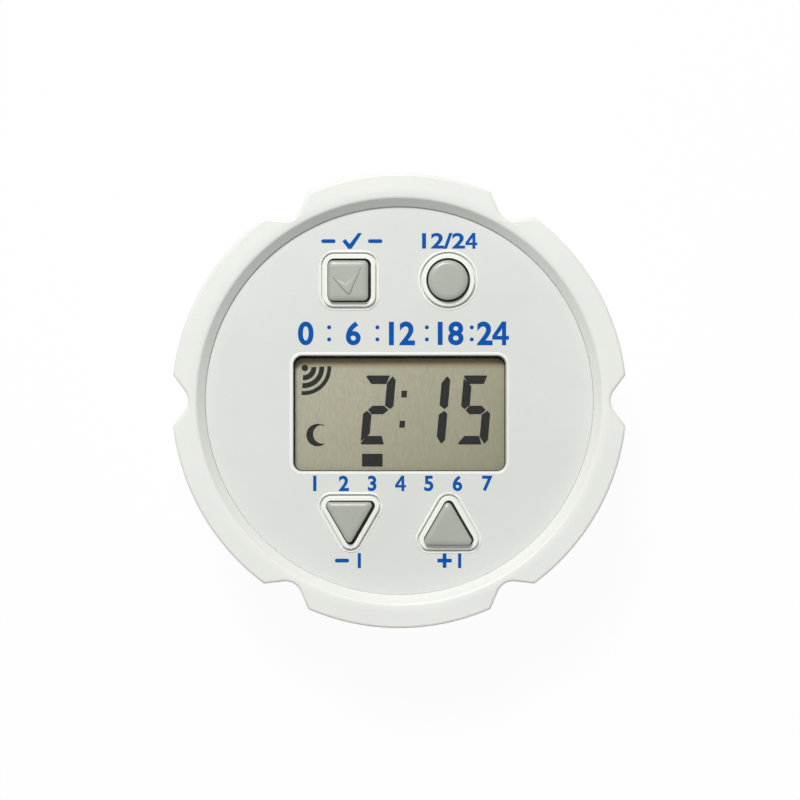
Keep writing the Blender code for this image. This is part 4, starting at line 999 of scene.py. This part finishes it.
def four(left, foot, width, height):
    """The figure four in three outlines that join round an open counter."""
    parts = (
        ((0.41, 0.0), (0.585, 0.0), (0.585, 0.235), (0.70, 0.235), (0.70, 0.395), (0.585, 0.395),
         (0.585, 1.0), (0.41, 1.0), (0.41, 0.70), (0.41, 0.395), (0.41, 0.235)),
        ((0.0, 0.235), (0.41, 0.235), (0.41, 0.395), (0.20, 0.395), (0.0, 0.395)),
        ((0.0, 0.395), (0.20, 0.395), (0.41, 0.70), (0.41, 1.0)))
    return [[(left + x * width / 0.70, foot + y * height) for x, y in part] for part in parts]


def make_print():
    """A day scale above the window, day numbers below it, and a sign by each key."""
    bold = 0.030
    scale = [(body, (x, SCALE_ROW), None, 3.15, bold) for body, x in
             (("0", -12.4), ("6", -6.1), ("12", 0.35), ("18", 6.8), ("2", 11.33))]
    dots = [circle(0.27, 16, (x, SCALE_ROW + dy)) for x in (-9.3, -2.9, 3.65, 9.6)
            for dy in (-0.8, 0.8)]
    printed("print_day_scale", scale, dots + four(12.32, 7.335, 2.2, 3.15))
    days = [(body, (x, DAY_ROW), None, 2.05, bold) for body, x in
            (("1", -11.2), ("2", -7.35), ("3", -3.6), ("5", 3.9), ("6", 7.7), ("7", 11.67))]
    printed("print_day_numbers", days, four(-0.56, -11.995, 1.44, 2.05))
    tick = [(-7.55, 21.12), (-6.75, 20.10), (-6.35, 20.10), (-4.95, 22.18), (-5.45, 22.23),
            (-6.58, 20.77), (-7.15, 21.42)]
    dashes = [bar(x, TOP_SIGN_ROW, 1.9, 0.5) for x in (-9.4, -3.2)]
    printed("print_check_sign", [], [tick] + dashes)
    printed("print_mode_sign", [("12/2", (5.86, 21.17), 5.7, 2.1, 0.026)],
            four(8.76, 20.12, 1.58, 2.1))
    printed("print_down_sign", [("1", (-5.3, LOW_SIGN_ROW), None, 2.0, bold)],
            [bar(-7.6, LOW_SIGN_ROW, 1.9, 0.5)])
    plus = ((-0.95, -0.25), (-0.25, -0.25), (-0.25, -0.95), (0.25, -0.95), (0.25, -0.25),
            (0.95, -0.25), (0.95, 0.25), (0.25, 0.25), (0.25, 0.95), (-0.25, 0.95),
            (-0.25, 0.25), (-0.95, 0.25))
    printed("print_up_sign", [("1", (8.0, LOW_SIGN_ROW), None, 2.0, bold)],
            [[(x + 6.0, y + LOW_SIGN_ROW) for x, y in plus]])


# Stage

def seen_as_it_is(tree, path):
    """One for rays that show a surface to the camera, zero for rays that only light."""
    seen = node(tree, "ShaderNodeMath", {0: path.outputs["Is Camera Ray"],
                                         1: path.outputs["Is Glossy Ray"]}, operation="ADD")
    return node(tree, "ShaderNodeMath", {0: seen.outputs[0],
                                         1: path.outputs["Is Transmission Ray"]},
                operation="ADD", use_clamp=True).outputs[0]


def make_stage():
    """Floor, world, a soft lamp above, a low one below, and the camera straight above."""
    size = 1.5
    mesh = bpy.data.meshes.new("floor")
    low = -0.00004
    mesh.from_pydata([(-size, -size, low), (size, -size, low), (size, size, low),
                      (-size, size, low)], [], [(0, 1, 2, 3)])
    floor = new_object("floor", mesh)
    made = bpy.data.materials.new("floor_white")
    made.use_nodes = True
    tree = made.node_tree
    tree.nodes.clear()
    diffuse = node(tree, "ShaderNodeBsdfDiffuse", {"Color": (0.9, 0.9, 0.9, 1.0)})
    glow = node(tree, "ShaderNodeEmission", {"Color": (1.0, 1.0, 1.0, 1.0), "Strength": 1.0})
    path = node(tree, "ShaderNodeLightPath")
    share = node(tree, "ShaderNodeMath", {0: seen_as_it_is(tree, path), 1: FLOOR_GLOW},
                 operation="MULTIPLY")
    mixed = node(tree, "ShaderNodeMixShader", {0: share.outputs[0], 1: diffuse.outputs[0],
                                               2: glow.outputs[0]})
    clear = node(tree, "ShaderNodeBsdfTransparent")
    behind = node(tree, "ShaderNodeNewGeometry").outputs["Backfacing"]
    passed = node(tree, "ShaderNodeMath", {0: behind, 1: path.outputs["Is Shadow Ray"]},
                  operation="MAXIMUM")
    one_way = node(tree, "ShaderNodeMixShader", {0: passed.outputs[0], 1: mixed.outputs[0],
                                                 2: clear.outputs[0]})
    out = node(tree, "ShaderNodeOutputMaterial")
    tree.links.new(one_way.outputs[0], out.inputs["Surface"])
    floor.data.materials.append(made)

    world = bpy.data.worlds.new("studio")
    world.use_nodes = True
    tree = world.node_tree
    tree.nodes.clear()
    path = node(tree, "ShaderNodeLightPath")
    strength = node(tree, "ShaderNodeMapRange", {"Value": seen_as_it_is(tree, path),
                                                 "To Min": WORLD_LIGHT, "To Max": 1.0})
    glow = node(tree, "ShaderNodeBackground", {"Color": (1.0, 1.0, 1.0, 1.0),
                                               "Strength": strength.outputs["Result"]})
    out = node(tree, "ShaderNodeOutputWorld")
    tree.links.new(glow.outputs[0], out.inputs["Surface"])
    bpy.context.scene.world = world

    for name, size, energy, place in (("key_lamp", 0.19, 4.22, (-0.110, 0.362, 0.626)),
                                      ("low_lamp", 0.30, 1.3, (0.15, -0.25, -0.45))):
        lamp = bpy.data.lights.new(name, "AREA")
        lamp.shape = "DISK"
        lamp.size = size
        lamp.energy = energy
        holder = new_object(name, lamp)
        holder.location = place
        aim = Vector((0.0, 0.0, 0.023)) - holder.location
        holder.rotation_mode = "QUATERNION"
        holder.rotation_quaternion = aim.to_track_quat("-Z", "Y")
        holder.visible_camera = False

    lens = bpy.data.cameras.new("camera")
    lens.lens = 100.0
    lens.sensor_width = 36.0
    lens.clip_start = 0.01
    lens.clip_end = 10.0
    camera = new_object("camera", lens)
    camera.location = (0.000092, 0.000079, 0.3175)
    bpy.context.scene.camera = camera
    bpy.context.scene.view_settings.view_transform = "Standard"


make_shell()
make_face_plate()
for key in key_list():
    make_key(key)
    make_dome(key[0])
make_cover()
for number, place in enumerate(screw_places(), 1):
    make_screw(number, place)
make_plunger()
make_spring()
make_liner()
make_segments()
make_painted_window_shadow()
make_print()
make_stage()
